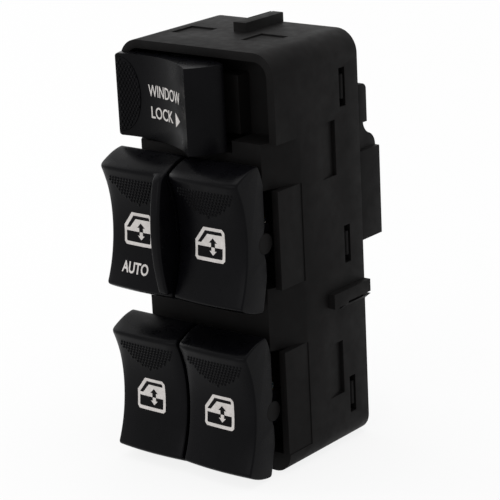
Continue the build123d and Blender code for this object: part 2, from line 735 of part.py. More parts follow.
# Plungers, springs and contact blades
def plunger(tail, tip):
    """A square slider with a thin nose, lying along Y on the origin's axis."""
    shoulder = tip - NOSE_LENGTH
    half = PLUNGER_HALF
    body = block(-half, half, tail, shoulder, -half, half)
    return body + block(-NOSE_HALF, NOSE_HALF, shoulder, tip, -NOSE_HALF, NOSE_HALF)


def coil(y0, y1):
    """A coil spring along Y, of square wire in short straight runs."""
    radius = BORE_HALF - SPRING_WIRE
    rise = (y1 - y0 - 2 * SPRING_WIRE) / (SPRING_TURNS * SPRING_CORNERS)
    points = []
    for corner in range(SPRING_TURNS * SPRING_CORNERS + 1):
        turn = 2 * pi * corner / SPRING_CORNERS
        points.append((radius * cos(turn), y0 + SPRING_WIRE + rise * corner, radius * sin(turn)))
    path = Polyline(*points)
    start = Plane(origin=path @ 0, x_dir=(0, 1, 0), z_dir=path % 0)
    return sweep(start * Rectangle(SPRING_WIRE, SPRING_WIRE), path=path, transition=Transition.RIGHT)


def contact_blade():
    """A shallow vee of strip with a contact tip at each end, about its fulcrum."""
    rise = BLADE_HALF * tan(radians(BLADE_VEE))
    t = BLADE_THICKNESS
    side = polygon(
        (0, 0), (-rise, BLADE_HALF), (-rise - t, BLADE_HALF), (-t, 0),
        (-rise - t, -BLADE_HALF), (-rise, -BLADE_HALF),
    )
    blade = along_x(side, -BLADE_WIDTH / 2, BLADE_WIDTH / 2)
    half = TIP_WIDTH / 2
    tip_y = -FIXED_SPACING * tan(radians(BLADE_VEE))
    for end in (-1, 1):
        z = end * FIXED_SPACING
        blade += block(-half, half, tip_y - t / 2, tip_y + TIP_HEIGHT, z - half, z + half)
    return blade


def contact_base():
    """The plastic base that holds a blade's terminals, on the board at Y = 0."""
    inner = BLADE_WIDTH / 2 + CHEEK_GAP
    outer = inner + CHEEK_THICKNESS
    half = FIXED_SPACING + BASE_MARGIN
    base = block(-outer, outer, -BASE_HEIGHT, 0, -half, half)
    top = FULCRUM_Y - BOARD_Y - BLADE_THICKNESS
    for side in (-1, 1):
        x0, x1 = sorted((side * inner, side * outer))
        base += block(x0, x1, top, -BASE_HEIGHT, -CHEEK_HALF, CHEEK_HALF)
    for place in (-FIXED_SPACING, 0, FIXED_SPACING):
        base -= terminal_slot(place, -BASE_HEIGHT, 0)
    return base


def terminal_slot(place, y0, y1):
    """The slot that a terminal passes through."""
    x = TERMINAL_WIDTH / 2 + TERMINAL_CLEARANCE
    z = TERMINAL_THICKNESS / 2 + TERMINAL_CLEARANCE
    return block(-x, x, y0, y1, place - z, place + z)


def terminals(travel):
    """The fulcrum terminal and the two fixed contacts, from the board at Y = 0."""
    x = TERMINAL_WIDTH / 2
    z = TERMINAL_THICKNESS / 2
    tail = BOARD_THICKNESS + TERMINAL_TAIL
    fulcrum_top = FULCRUM_Y - BOARD_Y + FULCRUM_GAP
    solids = [block(-x, x, fulcrum_top, tail, -z, z)]
    tilt = radians(travel)
    tip_rest = TIP_HEIGHT - FIXED_SPACING * tan(radians(BLADE_VEE))
    tip_closed = (FIXED_SPACING + z) * sin(tilt) + tip_rest * cos(tilt)
    top = FULCRUM_Y - BOARD_Y + tip_closed + CONTACT_GAP
    for place in (-FIXED_SPACING, FIXED_SPACING):
        solids.append(block(-x, x, top, tail, place - z, place + z))
    return solids


def tilt_of(name):
    """How far a switch's blade tilts from level, in degrees."""
    if name == "lock":
        return LOCK_TRAVEL / 2
    return AUTO_TRAVEL if name == "driver" else ROCKER_TRAVEL


def switch_places():
    """Each switch's name, place and turn: the lock's contacts lie across."""
    places = {name: (x, z, 0) for name, (x, z) in ROCKERS.items()}
    places["lock"] = (LOCK_PIVOT_X, LOCK_Z, 90)
    return places


def at_switch(shape, name, y):
    """Moves a shape from the origin to a switch, turned as its contacts lie."""
    x, z, turn = switch_places()[name]
    return Pos(x, y, z) * Rot(0, turn, 0) * shape


# Circuit board and what it carries
def board():
    """The circuit board with slots for terminals and plug pins."""
    gap = CASE_WALL + BOARD_EDGE_GAP
    plate = along_y(case_outline(gap), BOARD_Y, BOARD_BACK_Y)
    for name in switch_places():
        for place in (-FIXED_SPACING, 0, FIXED_SPACING):
            plate -= at_switch(terminal_slot(place, 0, BOARD_THICKNESS), name, BOARD_Y)
    x = SIDE_X - BOSS_INSET_X
    for side in (-1, 1):
        for z in (BOSS_INSET_Z, CASE_HEIGHT - BOSS_INSET_Z):
            radius = BOSS_PIN_RADIUS + PIN_CLEARANCE
            plate -= rod_y(side * x, z, radius, BOARD_Y, BOARD_BACK_Y)
    for x, z in pin_places():
        plate -= pin_slot(x, z, BOARD_Y, BOARD_BACK_Y)
    return plate


def pin_places():
    """Where the plug pins stand, in two rows."""
    places = []
    for column in range(PIN_COLUMNS):
        x = (column - (PIN_COLUMNS - 1) / 2) * PIN_PITCH
        for side in (-1, 1):
            places.append((x, PIN_Z + side * PIN_ROW_GAP / 2))
    return places


def pin_slot(x, z, y0, y1):
    """A hole that a plug pin passes through."""
    a = PIN_WIDTH / 2 + TERMINAL_CLEARANCE
    b = PIN_THICKNESS / 2 + TERMINAL_CLEARANCE
    return block(x - a, x + a, y0, y1, z - b, z + b)


def plug_pins():
    """The blades that the vehicle's plug mates with."""
    a, b = PIN_WIDTH / 2, PIN_THICKNESS / 2
    tip = SHROUD_Y - PIN_TIP_SETBACK
    return [block(x - a, x + a, BOARD_Y, tip, z - b, z + b) for x, z in pin_places()]


def lights():
    """One small light behind each button, on the front of the board."""
    x = LOCK_PIVOT_X + LED_RISE
    places = [(x, z + LED_RISE) for x, z in ROCKERS.values()] + [(x, LOCK_Z)]
    half_x = LED_WIDTH / 2
    half_z = LED_HEIGHT / 2
    front = BOARD_Y - LED_DEPTH
    return [block(x - half_x, x + half_x, front, BOARD_Y, z - half_z, z + half_z) for x, z in places]


# Rear cover
def shroud_side():
    """The shroud's outline from the side, with its shoulder's S-curve."""
    step_y = BACK_Y + SHROUD_STEP
    bend = ((step_y + SHROUD_Y) / 2, (SHROUD_SHOULDER + SHROUD_NECK) / 2)
    cap = (step_y, SHROUD_TOP - SHROUD_EDGE)
    ridge = (step_y - SHROUD_EDGE, SHROUD_TOP)
    soft = (step_y - SHROUD_EDGE / 3, SHROUD_TOP - SHROUD_EDGE / 3)
    lines = [
        Line((BACK_Y, SHROUD_FOOT), (SHROUD_Y, SHROUD_FOOT)),
        Line((SHROUD_Y, SHROUD_FOOT), (SHROUD_Y, SHROUD_SHOULDER)),
        TangentArc((SHROUD_Y, SHROUD_SHOULDER), bend, tangent=(0, 1)),
        TangentArc((step_y, SHROUD_NECK), bend, tangent=(0, -1)),
        Line((step_y, SHROUD_NECK), cap),
        ThreePointArc(cap, soft, ridge),
        Line(ridge, (BACK_Y, SHROUD_TOP)),
        Line((BACK_Y, SHROUD_TOP), (BACK_Y, SHROUD_FOOT)),
    ]
    return make_face(lines)


def shroud():
    """The block behind the case that the plug goes into, narrower at its shoulder."""
    body = along_x(shroud_side(), -SIDE_X, SIDE_X)
    x0 = SIDE_X - SHOULDER_INSET
    body -= block(x0, SIDE_X, BACK_Y, SHROUD_Y, SHROUD_SHOULDER, SHROUD_NECK)
    return body - block(-SIDE_X, -x0, BACK_Y, SHROUD_Y, SHROUD_SHOULDER, SHROUD_NECK)


def latch(side, z):
    """A latch arm with a hook that fills the middle of a case window."""
    wall_x = SIDE_X - CASE_WALL - COVER_GAP
    y_front = WINDOW_Y - WINDOW_WIDTH / 2 + COVER_GAP
    y_back = WINDOW_Y + WINDOW_WIDTH / 2 - 2 * COVER_GAP
    tip_x = SIDE_X - LATCH_TIP
    crest_y = y_back - LATCH_CREST
    arm = block(wall_x - LATCH_ARM, wall_x, y_front, COVER_Y, z - LATCH_HALF, z + LATCH_HALF)
    hook = polygon((wall_x, y_front), (tip_x, crest_y), (tip_x, y_back), (wall_x, y_back))
    arm += along_z(hook, z - LATCH_HALF, z + LATCH_HALF)
    return arm if side > 0 else mirror(arm, Plane.YZ)


def socket_block(wall, y0, y1):
    """A block about the plug's socket, that much larger all round."""
    x = SIDE_X - SOCKET_SIDE + wall
    z = SOCKET_HEIGHT / 2 + wall
    return block(-x, x, y0, y1, PIN_Z - z, PIN_Z + z)


def board_prop(side, z):
    """A prop that holds the board against its bosses."""
    x = side * (SIDE_X - BOSS_INSET_X)
    half = PROP_HALF
    return block(x - half, x + half, BOARD_BACK_Y, COVER_Y, z - half, z + half)


def rear_cover():
    """The back plate with its latches, board props and the plug shroud."""
    cover = along_y(case_outline(CASE_WALL + COVER_GAP), COVER_Y, BACK_Y) + shroud()
    inside_y = SOCKET_FLOOR_Y - SOCKET_WALL
    cover += socket_block(SOCKET_WALL, inside_y, COVER_Y)
    cover -= socket_block(0, SOCKET_FLOOR_Y, SHROUD_Y)
    for x, z in pin_places():
        cover -= pin_slot(x, z, inside_y, SOCKET_FLOOR_Y)
    prop_inset = BOSS_INSET_Z + PROP_SPACING
    for side in (-1, 1):
        for z in WINDOW_HEIGHTS:
            cover += latch(side, z)
        for z in (prop_inset, CASE_HEIGHT - prop_inset):
            cover += board_prop(side, z)
    return cover


# Writing the parts
def save(name, shape):
    """Writes one sub-part, as one solid or a group of separate ones."""
    if isinstance(shape, list):
        shape = Compound(children=shape)
    export_step(shape, f"parts/{name}.step")
    print(name, "solids", len(shape.solids()), "volume", round(sum(s.volume for s in shape.solids())))


def save_plungers():
    """The plungers and their springs, the lock's leaning by half its travel."""
    tail = BORE_FLOOR + SPRING_SPACE
    rocker_plunger = plunger(tail, TIP_Y - PIVOT_Y)
    rocker_coil = coil(BORE_FLOOR + SPRING_END_GAP, tail - SPRING_END_GAP)
    for name, (x, z) in ROCKERS.items():
        save(f"plunger_{name}", Pos(x, PIVOT_Y, z) * rocker_plunger)
        save(f"spring_{name}", Pos(x, PIVOT_Y, z) * rocker_coil)
    lean = Pos(LOCK_PIVOT_X, LOCK_PIVOT_Y, LOCK_Z) * Rot(0, 0, -LOCK_TRAVEL / 2)
    tail = LOCK_SPRING_SPACE - LOCK_BORE_REACH
    lock_coil = coil(SPRING_END_GAP - LOCK_BORE_REACH, tail - SPRING_END_GAP)
    save("plunger_lock", lean * plunger(tail, TIP_Y - LOCK_PIVOT_Y))
    save("spring_lock", lean * lock_coil)


def save_contacts():
    """Each switch's blade, base and terminals, the lock's blade leaning."""
    for name in switch_places():
        blade = contact_blade()
        if name == "lock":
            blade = Rot(-LOCK_TRAVEL / 2, 0, 0) * blade
        save(f"contact_blade_{name}", at_switch(blade, name, FULCRUM_Y))
        save(f"contact_base_{name}", at_switch(contact_base(), name, BOARD_Y))
        legs = terminals(tilt_of(name))
        save(f"terminals_{name}", [at_switch(leg, name, BOARD_Y) for leg in legs])


def main():
    os.makedirs("parts", exist_ok=True)
    save("case", case())
    save("rear_cover", rear_cover())
    save("circuit_board", board())
    save("plug_pins", plug_pins())
    save("backlights", lights())
    save("lock_button", lock_button())
    for name in ROCKERS:
        save(f"rocker_{name}", window_rocker(name))
    save_plungers()
    save_contacts()


main()
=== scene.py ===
# %% [markdown]
# # Dressing a window switch block
# The object is the block of switches in a driver's door: four rockers for the windows, a lock button
# above them, a black case, and a shroud for the plug behind. The CAD model is already packed, so this
# script only gives it its looks. It loads the model, makes finer copies of the parts that show,
# prints the symbols, gives every part a procedural material, and sets up a small photo studio.

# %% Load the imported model
import json
import math

import bmesh
import bpy
from mathutils import Matrix, Vector
from mathutils.bvhtree import BVHTree


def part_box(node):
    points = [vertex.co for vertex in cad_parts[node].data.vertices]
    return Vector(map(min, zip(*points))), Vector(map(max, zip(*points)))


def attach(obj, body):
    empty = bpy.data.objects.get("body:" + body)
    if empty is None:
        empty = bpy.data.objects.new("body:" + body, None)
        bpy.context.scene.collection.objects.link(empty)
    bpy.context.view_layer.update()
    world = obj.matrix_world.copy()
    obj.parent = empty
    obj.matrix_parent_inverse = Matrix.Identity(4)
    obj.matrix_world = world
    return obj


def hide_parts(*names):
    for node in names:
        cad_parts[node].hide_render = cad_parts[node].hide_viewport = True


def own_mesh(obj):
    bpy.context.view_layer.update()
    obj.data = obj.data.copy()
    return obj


MM = 0.001
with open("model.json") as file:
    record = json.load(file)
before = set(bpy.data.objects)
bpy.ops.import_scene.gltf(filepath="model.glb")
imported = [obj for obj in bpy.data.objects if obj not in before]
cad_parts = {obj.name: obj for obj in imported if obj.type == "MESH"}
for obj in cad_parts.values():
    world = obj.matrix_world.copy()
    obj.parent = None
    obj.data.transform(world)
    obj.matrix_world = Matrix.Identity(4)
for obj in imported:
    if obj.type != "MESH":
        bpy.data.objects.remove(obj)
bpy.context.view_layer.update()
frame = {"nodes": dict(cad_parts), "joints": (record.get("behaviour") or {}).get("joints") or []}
nodes = frame["nodes"]

# %% Where each button turns
pivots = {}
for joint in frame["joints"]:
    if joint["name"].endswith("_tilt") and joint["child"].startswith("button_"):
        pivots[joint["child"].removeprefix("button_")] = Vector(joint["pos_m"])
print("pivots", {name: tuple(round(v / MM, 2) for v in place) for name, place in pivots.items()})

# %% [markdown]
# ## The camera
# The photograph was taken from the right of the buttons and a little above them, with a long lens
# from about half a metre away. A long lens keeps upright edges nearly parallel. A camera could be
# aimed by a tracking constraint, but two angles and a small roll describe it as a photographer would
# and keep the roll under control, so its axes are worked out from them.

# %% Place the camera
CAMERA_PLACE = Vector((336.24, -409.76, 216.04)) * MM
CAMERA_AZIMUTH = math.radians(39.31)
CAMERA_ELEVATION = math.radians(17.25)
CAMERA_ROLL = math.radians(-2.89)
LENS = 153.0
FILM_WIDTH = 36.0
NEAREST = 0.01


def camera_turn():
    """The camera's rotation: it looks along -Z of its own frame."""
    back = Vector((
        math.sin(CAMERA_AZIMUTH) * math.cos(CAMERA_ELEVATION),
        -math.cos(CAMERA_AZIMUTH) * math.cos(CAMERA_ELEVATION),
        math.sin(CAMERA_ELEVATION),
    ))
    level = Vector((0, 0, 1)).cross(back).normalized()
    upright = back.cross(level)
    right = level * math.cos(CAMERA_ROLL) + upright * math.sin(CAMERA_ROLL)
    up = upright * math.cos(CAMERA_ROLL) - level * math.sin(CAMERA_ROLL)
    return Matrix((right, up, back)).transposed()


camera_data = bpy.data.cameras.new("camera")
camera_data.lens = LENS
camera_data.sensor_width = FILM_WIDTH
camera_data.clip_start = NEAREST
camera = bpy.data.objects.new("camera", camera_data)
camera.matrix_world = Matrix.Translation(CAMERA_PLACE) @ camera_turn().to_4x4()
bpy.context.scene.collection.objects.link(camera)
bpy.context.scene.camera = camera
bpy.context.scene.view_settings.view_transform = "Standard"
print("camera is", round(CAMERA_PLACE.length, 3), "m from the origin")

# %% [markdown]
# ## Node helpers
# Every finish here is built from shader nodes. Nodes can be added and joined one line at a time, but
# the same few steps come back in every recipe, so small helpers keep the recipes short: one adds a
# node and sets its values, one gives a noise at a size in millimetres, and others blend with it.

# %% Add a material, a node or a sum
def new_material(name):
    """An empty material with its Principled shader."""
    material = bpy.data.materials.new(name)
    material.use_nodes = True
    shader = material.node_tree.nodes["Principled BSDF"]
    return material, material.node_tree, shader


def add_node(tree, kind, **values):
    """Adds a shader node and sets its inputs by name."""
    node = tree.nodes.new(kind)
    for key, value in values.items():
        node.inputs[key.replace("_", " ")].default_value = value
    return node


def calculated(tree, operation, first, second):
    """Works out one value from two others."""
    node = tree.nodes.new("ShaderNodeMath")
    node.operation = operation
    tree.links.new(first, node.inputs[0])
    tree.links.new(second, node.inputs[1])
    return node.outputs[0]


# %% Noise, and what is done with it
NOISE_LOW, NOISE_HIGH = 0.3, 0.7
BLEND_FROM, BLEND_TO = 0.35, 0.65


def noise_of_size(tree, size_mm, detail=2.0):
    """A noise whose grains are about size_mm across, fixed to the part."""
    place = tree.nodes.new("ShaderNodeTexCoord")
    noise = add_node(tree, "ShaderNodeTexNoise", Scale=1.0 / (size_mm * MM), Detail=detail)
    tree.links.new(place.outputs["Object"], noise.inputs["Vector"])
    return noise.outputs["Fac"]


def spread(tree, source, low, high):
    """Maps a noise onto a range of values."""
    node = add_node(
        tree, "ShaderNodeMapRange", From_Min=NOISE_LOW, From_Max=NOISE_HIGH, To_Min=low, To_Max=high
    )
    tree.links.new(source, node.inputs["Value"])
    return node.outputs["Result"]


def mixed_colours(tree, source, first, second):
    """Blends two colours by a noise."""
    ramp = tree.nodes.new("ShaderNodeValToRGB")
    for stop, place, colour in zip(ramp.color_ramp.elements, (BLEND_FROM, BLEND_TO), (first, second)):
        stop.position = place
        stop.color = (*colour, 1)
    tree.links.new(source, ramp.inputs["Fac"])
    return ramp.outputs["Color"]


def raised(tree, shader, source, depth_mm):
    """Turns a height into bump on the shader."""
    bump = add_node(tree, "ShaderNodeBump", Strength=1.0, Distance=depth_mm * MM)
    tree.links.new(source, bump.inputs["Height"])
    tree.links.new(bump.outputs["Normal"], shader.inputs["Normal"])


print("the noise between", NOISE_LOW, "and", NOISE_HIGH, "is used")

# %% [markdown]
# ## The black plastics
# The case and cover are moulded in a matt black with a fine spark-eroded grain, which scatters light
# into a soft warm grey. The buttons have a smoother satin coat with a cooler black. One flat black
# would look like a hole in the picture, so both are made from the same recipe: two close blacks mixed
# by a slow noise, a roughness that wanders a little, and a fine bump for the grain. The reflection is
# set low, because the real surface hardly mirrors.

# %% Plastic recipe
CLOUD_MM = 9.0
GLOSS_MM = 2.6
GLOSS_WANDER = 0.05


def moulded_plastic(name, dark, light, roughness, grain_mm, grain_depth_mm, reflection):
    """A black moulded plastic: slow colour change, wandering gloss and a fine grain."""
    material, tree, shader = new_material(name)
    cloud = noise_of_size(tree, CLOUD_MM, detail=3.0)
    tree.links.new(mixed_colours(tree, cloud, dark, light), shader.inputs["Base Color"])
    gloss = spread(tree, noise_of_size(tree, GLOSS_MM), roughness - GLOSS_WANDER, roughness + GLOSS_WANDER)
    tree.links.new(gloss, shader.inputs["Roughness"])
    raised(tree, shader, noise_of_size(tree, grain_mm, detail=1.0), grain_depth_mm)
    shader.inputs["Specular IOR Level"].default_value = reflection
    return material


case_black = moulded_plastic(
    "case_black", (0.0034, 0.0031, 0.0031), (0.0048, 0.0044, 0.0044),
    roughness=0.60, grain_mm=0.22, grain_depth_mm=0.012, reflection=0.08,
)
cover_black = moulded_plastic(
    "cover_black", (0.0034, 0.0031, 0.0032), (0.0046, 0.0043, 0.0044),
    roughness=0.60, grain_mm=0.22, grain_depth_mm=0.010, reflection=0.08,
)
button_black = moulded_plastic(
    "button_black", (0.0014, 0.0014, 0.0019), (0.0022, 0.0021, 0.0028),
    roughness=0.30, grain_mm=0.16, grain_depth_mm=0.005, reflection=0.062,
)
print("black plastics", case_black.name, cover_black.name, button_black.name)

# %% [markdown]
# ## Finishes of the inner parts
# Behind the buttons sit parts that only show from the back or through a gap: a circuit board, tinned
# plug blades, brass terminals and contact blades, steel springs, and plungers and bases in natural
# plastic. They could share one grey, as hidden parts often do, but each gets a finish of its own, so
# that the part holds up when it is opened on screen. Two recipes are enough: stamped strip metal with
# stains and rolling marks, and a natural plastic that lets a little light in.

# %% Strip metal recipe
STAIN_MM = 1.8
ROLLING_MM = 0.5
ROLLING_WANDER = 0.08
FINE_DEPTH_MM = 0.004


def strip_metal(name, colour, dull, roughness):
    """Stamped strip: a slightly stained metal with rolling marks."""
    material, tree, shader = new_material(name)
    stain = noise_of_size(tree, STAIN_MM, detail=3.0)
    tree.links.new(mixed_colours(tree, stain, dull, colour), shader.inputs["Base Color"])
    shader.inputs["Metallic"].default_value = 1.0
    marks = noise_of_size(tree, ROLLING_MM)
    dulled = spread(tree, marks, roughness - ROLLING_WANDER, roughness + ROLLING_WANDER)
    tree.links.new(dulled, shader.inputs["Roughness"])
    raised(tree, shader, marks, FINE_DEPTH_MM)
    return material


tinned = strip_metal("tinned_brass", (0.62, 0.61, 0.58), (0.45, 0.44, 0.42), roughness=0.32)
contact_metal = strip_metal("contact_metal", (0.72, 0.52, 0.26), (0.52, 0.36, 0.18), roughness=0.34)
spring_steel = strip_metal("spring_steel", (0.46, 0.46, 0.47), (0.30, 0.30, 0.31), roughness=0.30)
print("metals", tinned.name, contact_metal.name, spring_steel.name)

# %% Natural plastic recipe
PALE_CLOUD_MM = 3.5
PALE_GLOSS_MM = 1.2
PALE_GRAIN_MM = 0.3
GLOW_DEPTH = (0.001, 0.0008, 0.0006)


def natural_plastic(name, first, second, roughness, glow=0.0):
    """Unpainted plastic that lets a little light in."""
    material, tree, shader = new_material(name)
    cloud = noise_of_size(tree, PALE_CLOUD_MM)
    tree.links.new(mixed_colours(tree, cloud, first, second), shader.inputs["Base Color"])
    gloss = noise_of_size(tree, PALE_GLOSS_MM)
    wandering = spread(tree, gloss, roughness - GLOSS_WANDER, roughness + GLOSS_WANDER)
    tree.links.new(wandering, shader.inputs["Roughness"])
    raised(tree, shader, noise_of_size(tree, PALE_GRAIN_MM, detail=1.0), FINE_DEPTH_MM)
    shader.inputs["Subsurface Weight"].default_value = glow
    shader.inputs["Subsurface Radius"].default_value = GLOW_DEPTH
    return material


plunger_white = natural_plastic("plunger_white", (0.72, 0.71, 0.66), (0.78, 0.77, 0.73), 0.38, glow=0.2)
base_tan = natural_plastic("base_tan", (0.30, 0.27, 0.21), (0.36, 0.32, 0.26), 0.5)
lamp_amber = natural_plastic("lamp_amber", (0.70, 0.62, 0.40), (0.80, 0.74, 0.52), 0.22, glow=0.3)
board_green = natural_plastic("board_green", (0.010, 0.075, 0.030), (0.014, 0.095, 0.040), 0.34)
print("plastics", plunger_white.name, base_tan.name, lamp_amber.name, board_green.name)

# %% Dress the inner parts
INNER_FINISHES = {
    "circuit_board": board_green,
    "plug_pins": tinned,
    "backlights": lamp_amber,
    "spring_": spring_steel,
    "plunger_": plunger_white,
    "contact_blade_": contact_metal,
    "contact_base_": base_tan,
    "terminals_": contact_metal,
}


def dress(piece, material):
    """Gives a piece one material."""
    piece.data.materials.clear()
    piece.data.materials.append(material)


dressed = 0
for name, node in nodes.items():
    for start, material in INNER_FINISHES.items():
        if name.startswith(start):
            dress(node, material)
            dressed += 1
print("inner parts dressed", dressed)

# %% [markdown]
# ## Moulded edges
# No moulded part has a perfectly sharp edge, and on a black part those small rounds are what the eye
# reads, because each one catches a thin line of light. They could be painted by a bevel node, but a
# shape that shows should be in the mesh. So the case and cover are copied from the CAD parts, their
# flat triangles are merged into whole faces, and the sharp edges are rounded. Each round is asked to
# be a quarter of a millimetre, and clamped so that the rounds never cross in the narrowest slots,
# which leaves them finer than that. The two corners at the lock button's left end are plainly round
# on the real one, so they get a larger round of their own first.

# %% Copy a CAD part and round its edges
SHARP = math.radians(30)
NEARLY_FLAT = math.radians(0.5)
WELD_MM = 0.002
EDGE_PROFILE = 0.6
CORNER_ROUND = 1.2
CORNER_SEGMENTS = 5
CORNER_PROFILE = 0.5


def shade(piece, angle=SHARP):
    """Smooth shading with the hard edges kept."""
    piece.data.shade_smooth()
    piece.data.set_sharp_from_angle(angle=angle)


def link(name, mesh):
    """Puts a mesh into the scene as an object."""
    piece = bpy.data.objects.new(name, mesh)
    bpy.context.scene.collection.objects.link(piece)
    return piece


def rounded_copy(name, node_name, radius_mm, segments=2, soft_edge=None):
    """A copy of a CAD part with merged faces and softly rounded edges."""
    mesh = nodes[node_name].data.copy()
    shape = bmesh.new()
    shape.from_mesh(mesh)
    bmesh.ops.remove_doubles(shape, verts=shape.verts, dist=WELD_MM * MM)
    bmesh.ops.dissolve_limit(shape, angle_limit=NEARLY_FLAT, verts=shape.verts, edges=shape.edges)
    if soft_edge:
        soft = [e for e in shape.edges if soft_edge(e) and e.calc_face_angle(0.0) > SHARP]
        bmesh.ops.bevel(
            shape, geom=soft, offset=CORNER_ROUND * MM, segments=CORNER_SEGMENTS, profile=CORNER_PROFILE,
            affect="EDGES", clamp_overlap=True,
        )
        print(name, "soft corner edges", len(soft))
    sharp = [e for e in shape.edges if len(e.link_faces) == 2 and e.calc_face_angle() > SHARP]
    bmesh.ops.bevel(
        shape, geom=sharp, offset=radius_mm * MM, segments=segments, profile=EDGE_PROFILE, affect="EDGES",
        clamp_overlap=True,
    )
    bmesh.ops.triangulate(shape, faces=[f for f in shape.faces if len(f.verts) > 4])
    shape.to_mesh(mesh)
    shape.free()
    piece = link(name, mesh)
    shade(piece)
    print(name, "faces", len(mesh.polygons), "rounded edges", len(sharp))
    return piece


# %% The case and the cover
CASE_EDGE = 0.28
COVER_EDGE = 0.25

case_shell = rounded_copy("case_shell", "case", CASE_EDGE)
dress(case_shell, case_black)
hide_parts("case")
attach(case_shell, "housing")

cover_shell = rounded_copy("cover_shell", "rear_cover", COVER_EDGE)
dress(cover_shell, cover_black)
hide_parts("rear_cover")
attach(cover_shell, "housing")

# %% The lock button and its soft left corners
LOCK_EDGE = 0.35
LOCK_END_RADIUS = 18.4
RADIUS_ERROR = 0.1
LOWER_CORNER = (84.0, 86.0)
UPPER_CORNER = (105.0, 106.5)
CORNER_DRIFT = 1.5


def at_lock_end(edge):
    """Whether an edge runs along the upper or lower corner of the lock's left end."""
    for vertex in edge.verts:
        away = (vertex.co - pivots["lock"]).to_2d().length / MM
        height = vertex.co.z / MM
        level = any(low < height < high for low, high in (LOWER_CORNER, UPPER_CORNER))
        if vertex.co.x > pivots["lock"].x or abs(away - LOCK_END_RADIUS) > RADIUS_ERROR or not level:
            return False
    return abs(edge.verts[0].co.z - edge.verts[1].co.z) < CORNER_DRIFT * MM


lock_shell = rounded_copy("lock_shell", "lock_button", LOCK_EDGE, segments=3, soft_edge=at_lock_end)
dress(lock_shell, button_black)
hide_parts("lock_button")
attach(lock_shell, "button_lock")

# %% [markdown]
# ## Springs that ride with the buttons
# Each plunger slides a little way into its button's stem and pushes a coil spring together. A coil
# can't follow the slide as a rigid piece. It could be given a second, shorter shape, but then every
# pose would have to blend the two. Here a copy of the CAD spring only gets the steel finish and rides
# with its button as one rigid piece, at its full length.

# %% Copy the springs onto the buttons
for name in pivots:
    coil = link(f"coil_{name}", nodes[f"spring_{name}"].data.copy())
    dress(coil, spring_steel)
    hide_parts(f"spring_{name}")
    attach(coil, f"button_{name}")
    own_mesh(coil)

# %% [markdown]
# ## The rockers
# A window rocker is a hollow moulding. From the side it has a lip to pull, a hollow face for the
# finger and a heel, and across its width the face swells slightly. It could be carved from a block,
# but it is easier to draw the side view once, with its corners rounded, and to repeat it in steps
# across the width: near each end the outline shrinks along a quarter circle, which rounds the edges.

# %% Arcs, lines and soft corners
def arc_points(start, middle, end, count):
    """Points on the circle through three points, without the last one."""
    a, b, c = (Vector(p) for p in (start, middle, end))
    twice = 2 * (a.x * (b.y - c.y) + b.x * (c.y - a.y) + c.x * (a.y - b.y))
    la, lb, lc = a.length_squared, b.length_squared, c.length_squared
    centre = Vector((
        (la * (b.y - c.y) + lb * (c.y - a.y) + lc * (a.y - b.y)) / twice,
        (la * (c.x - b.x) + lb * (a.x - c.x) + lc * (b.x - a.x)) / twice,
    ))
    radius = (a - centre).length
    first = math.atan2(a.y - centre.y, a.x - centre.x)
    through = math.atan2(b.y - centre.y, b.x - centre.x)
    last = math.atan2(c.y - centre.y, c.x - centre.x)
    turn = (last - first) % (2 * math.pi)
    if (through - first) % (2 * math.pi) > turn:
        turn -= 2 * math.pi
    angles = [first + turn * i / count for i in range(count)]
    return [centre + Vector((math.cos(t), math.sin(t))) * radius for t in angles]


def line_points(start, end, count):
    """Points on a line, without the last one."""
    return [Vector(start).lerp(Vector(end), i / count) for i in range(count)]


def soften_corner(points, corner, reach, steps=6):
    """Replaces the points near a corner by a smooth bend."""
    corner = Vector(corner)
    first = min(range(len(points)), key=lambda i: (points[i] - corner).length)
    turned = points[first:] + points[:first]
    kept = [p for p in turned if (p - corner).length >= reach]
    start = corner + (kept[-1] - corner).normalized() * reach
    end = corner + (kept[0] - corner).normalized() * reach
    bend = []
    for i in range(steps + 1):
        t = i / steps
        bend.append(start * (1 - t) ** 2 + corner * 2 * t * (1 - t) + end * t**2)
    return kept + bend


# %% The rocker's side view
LIP = Vector((-10.9, 17.125))
FACE_MIDDLE = Vector((-7.35, 1.41))
HEEL = Vector((-10.8, -14.3))
HEEL_SIDE = (-6.35, -16.53)
HEEL_FOOT = Vector((-1.9, -17.296))
SKIRT_FOOT = (0.2, -9.0)
SKIRT_TOP = (0.2, 15.0)
CROWN_SIDE = (-0.5, 17.62)
CROWN_BACK = Vector((-1.6, 20.24))
CROWN_MIDDLE = (-6.25, 19.31)
SOFT_CORNERS = ((LIP, 1.1), (HEEL, 0.9), (HEEL_FOOT, 0.8), (CROWN_BACK, 0.9))


def rocker_outline():
    """The rocker from the side, about its pivot, in millimetres."""
    points = arc_points(LIP, FACE_MIDDLE, HEEL, 40)
    points += arc_points(HEEL, HEEL_SIDE, HEEL_FOOT, 12)
    points += line_points(HEEL_FOOT, SKIRT_FOOT, 6)
    points += line_points(SKIRT_FOOT, SKIRT_TOP, 12)
    points += arc_points(SKIRT_TOP, CROWN_SIDE, CROWN_BACK, 6)
    points += arc_points(CROWN_BACK, CROWN_MIDDLE, LIP, 14)
    for corner, reach in SOFT_CORNERS:
        points = soften_corner(points, corner, reach)
    return points


outline = rocker_outline()
print("rocker outline points", len(outline))

# %% Steps across the width
HALF_WIDTH = (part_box("rocker_passenger")[1].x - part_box("rocker_passenger")[0].x) / 2 / MM
EDGE_ROUND = 0.45
STEPS_ACROSS = 14
STEPS_ROUND = 5


def quarter_round(radius):
    """Steps of a rounded edge: how far in each lies, and how much the outline shrinks there."""
    steps = []
    for i in range(STEPS_ROUND + 1):
        turn = math.pi / 2 * i / STEPS_ROUND
        steps.append((radius * (1 - math.cos(turn)), radius * (1 - math.sin(turn))))
    return steps


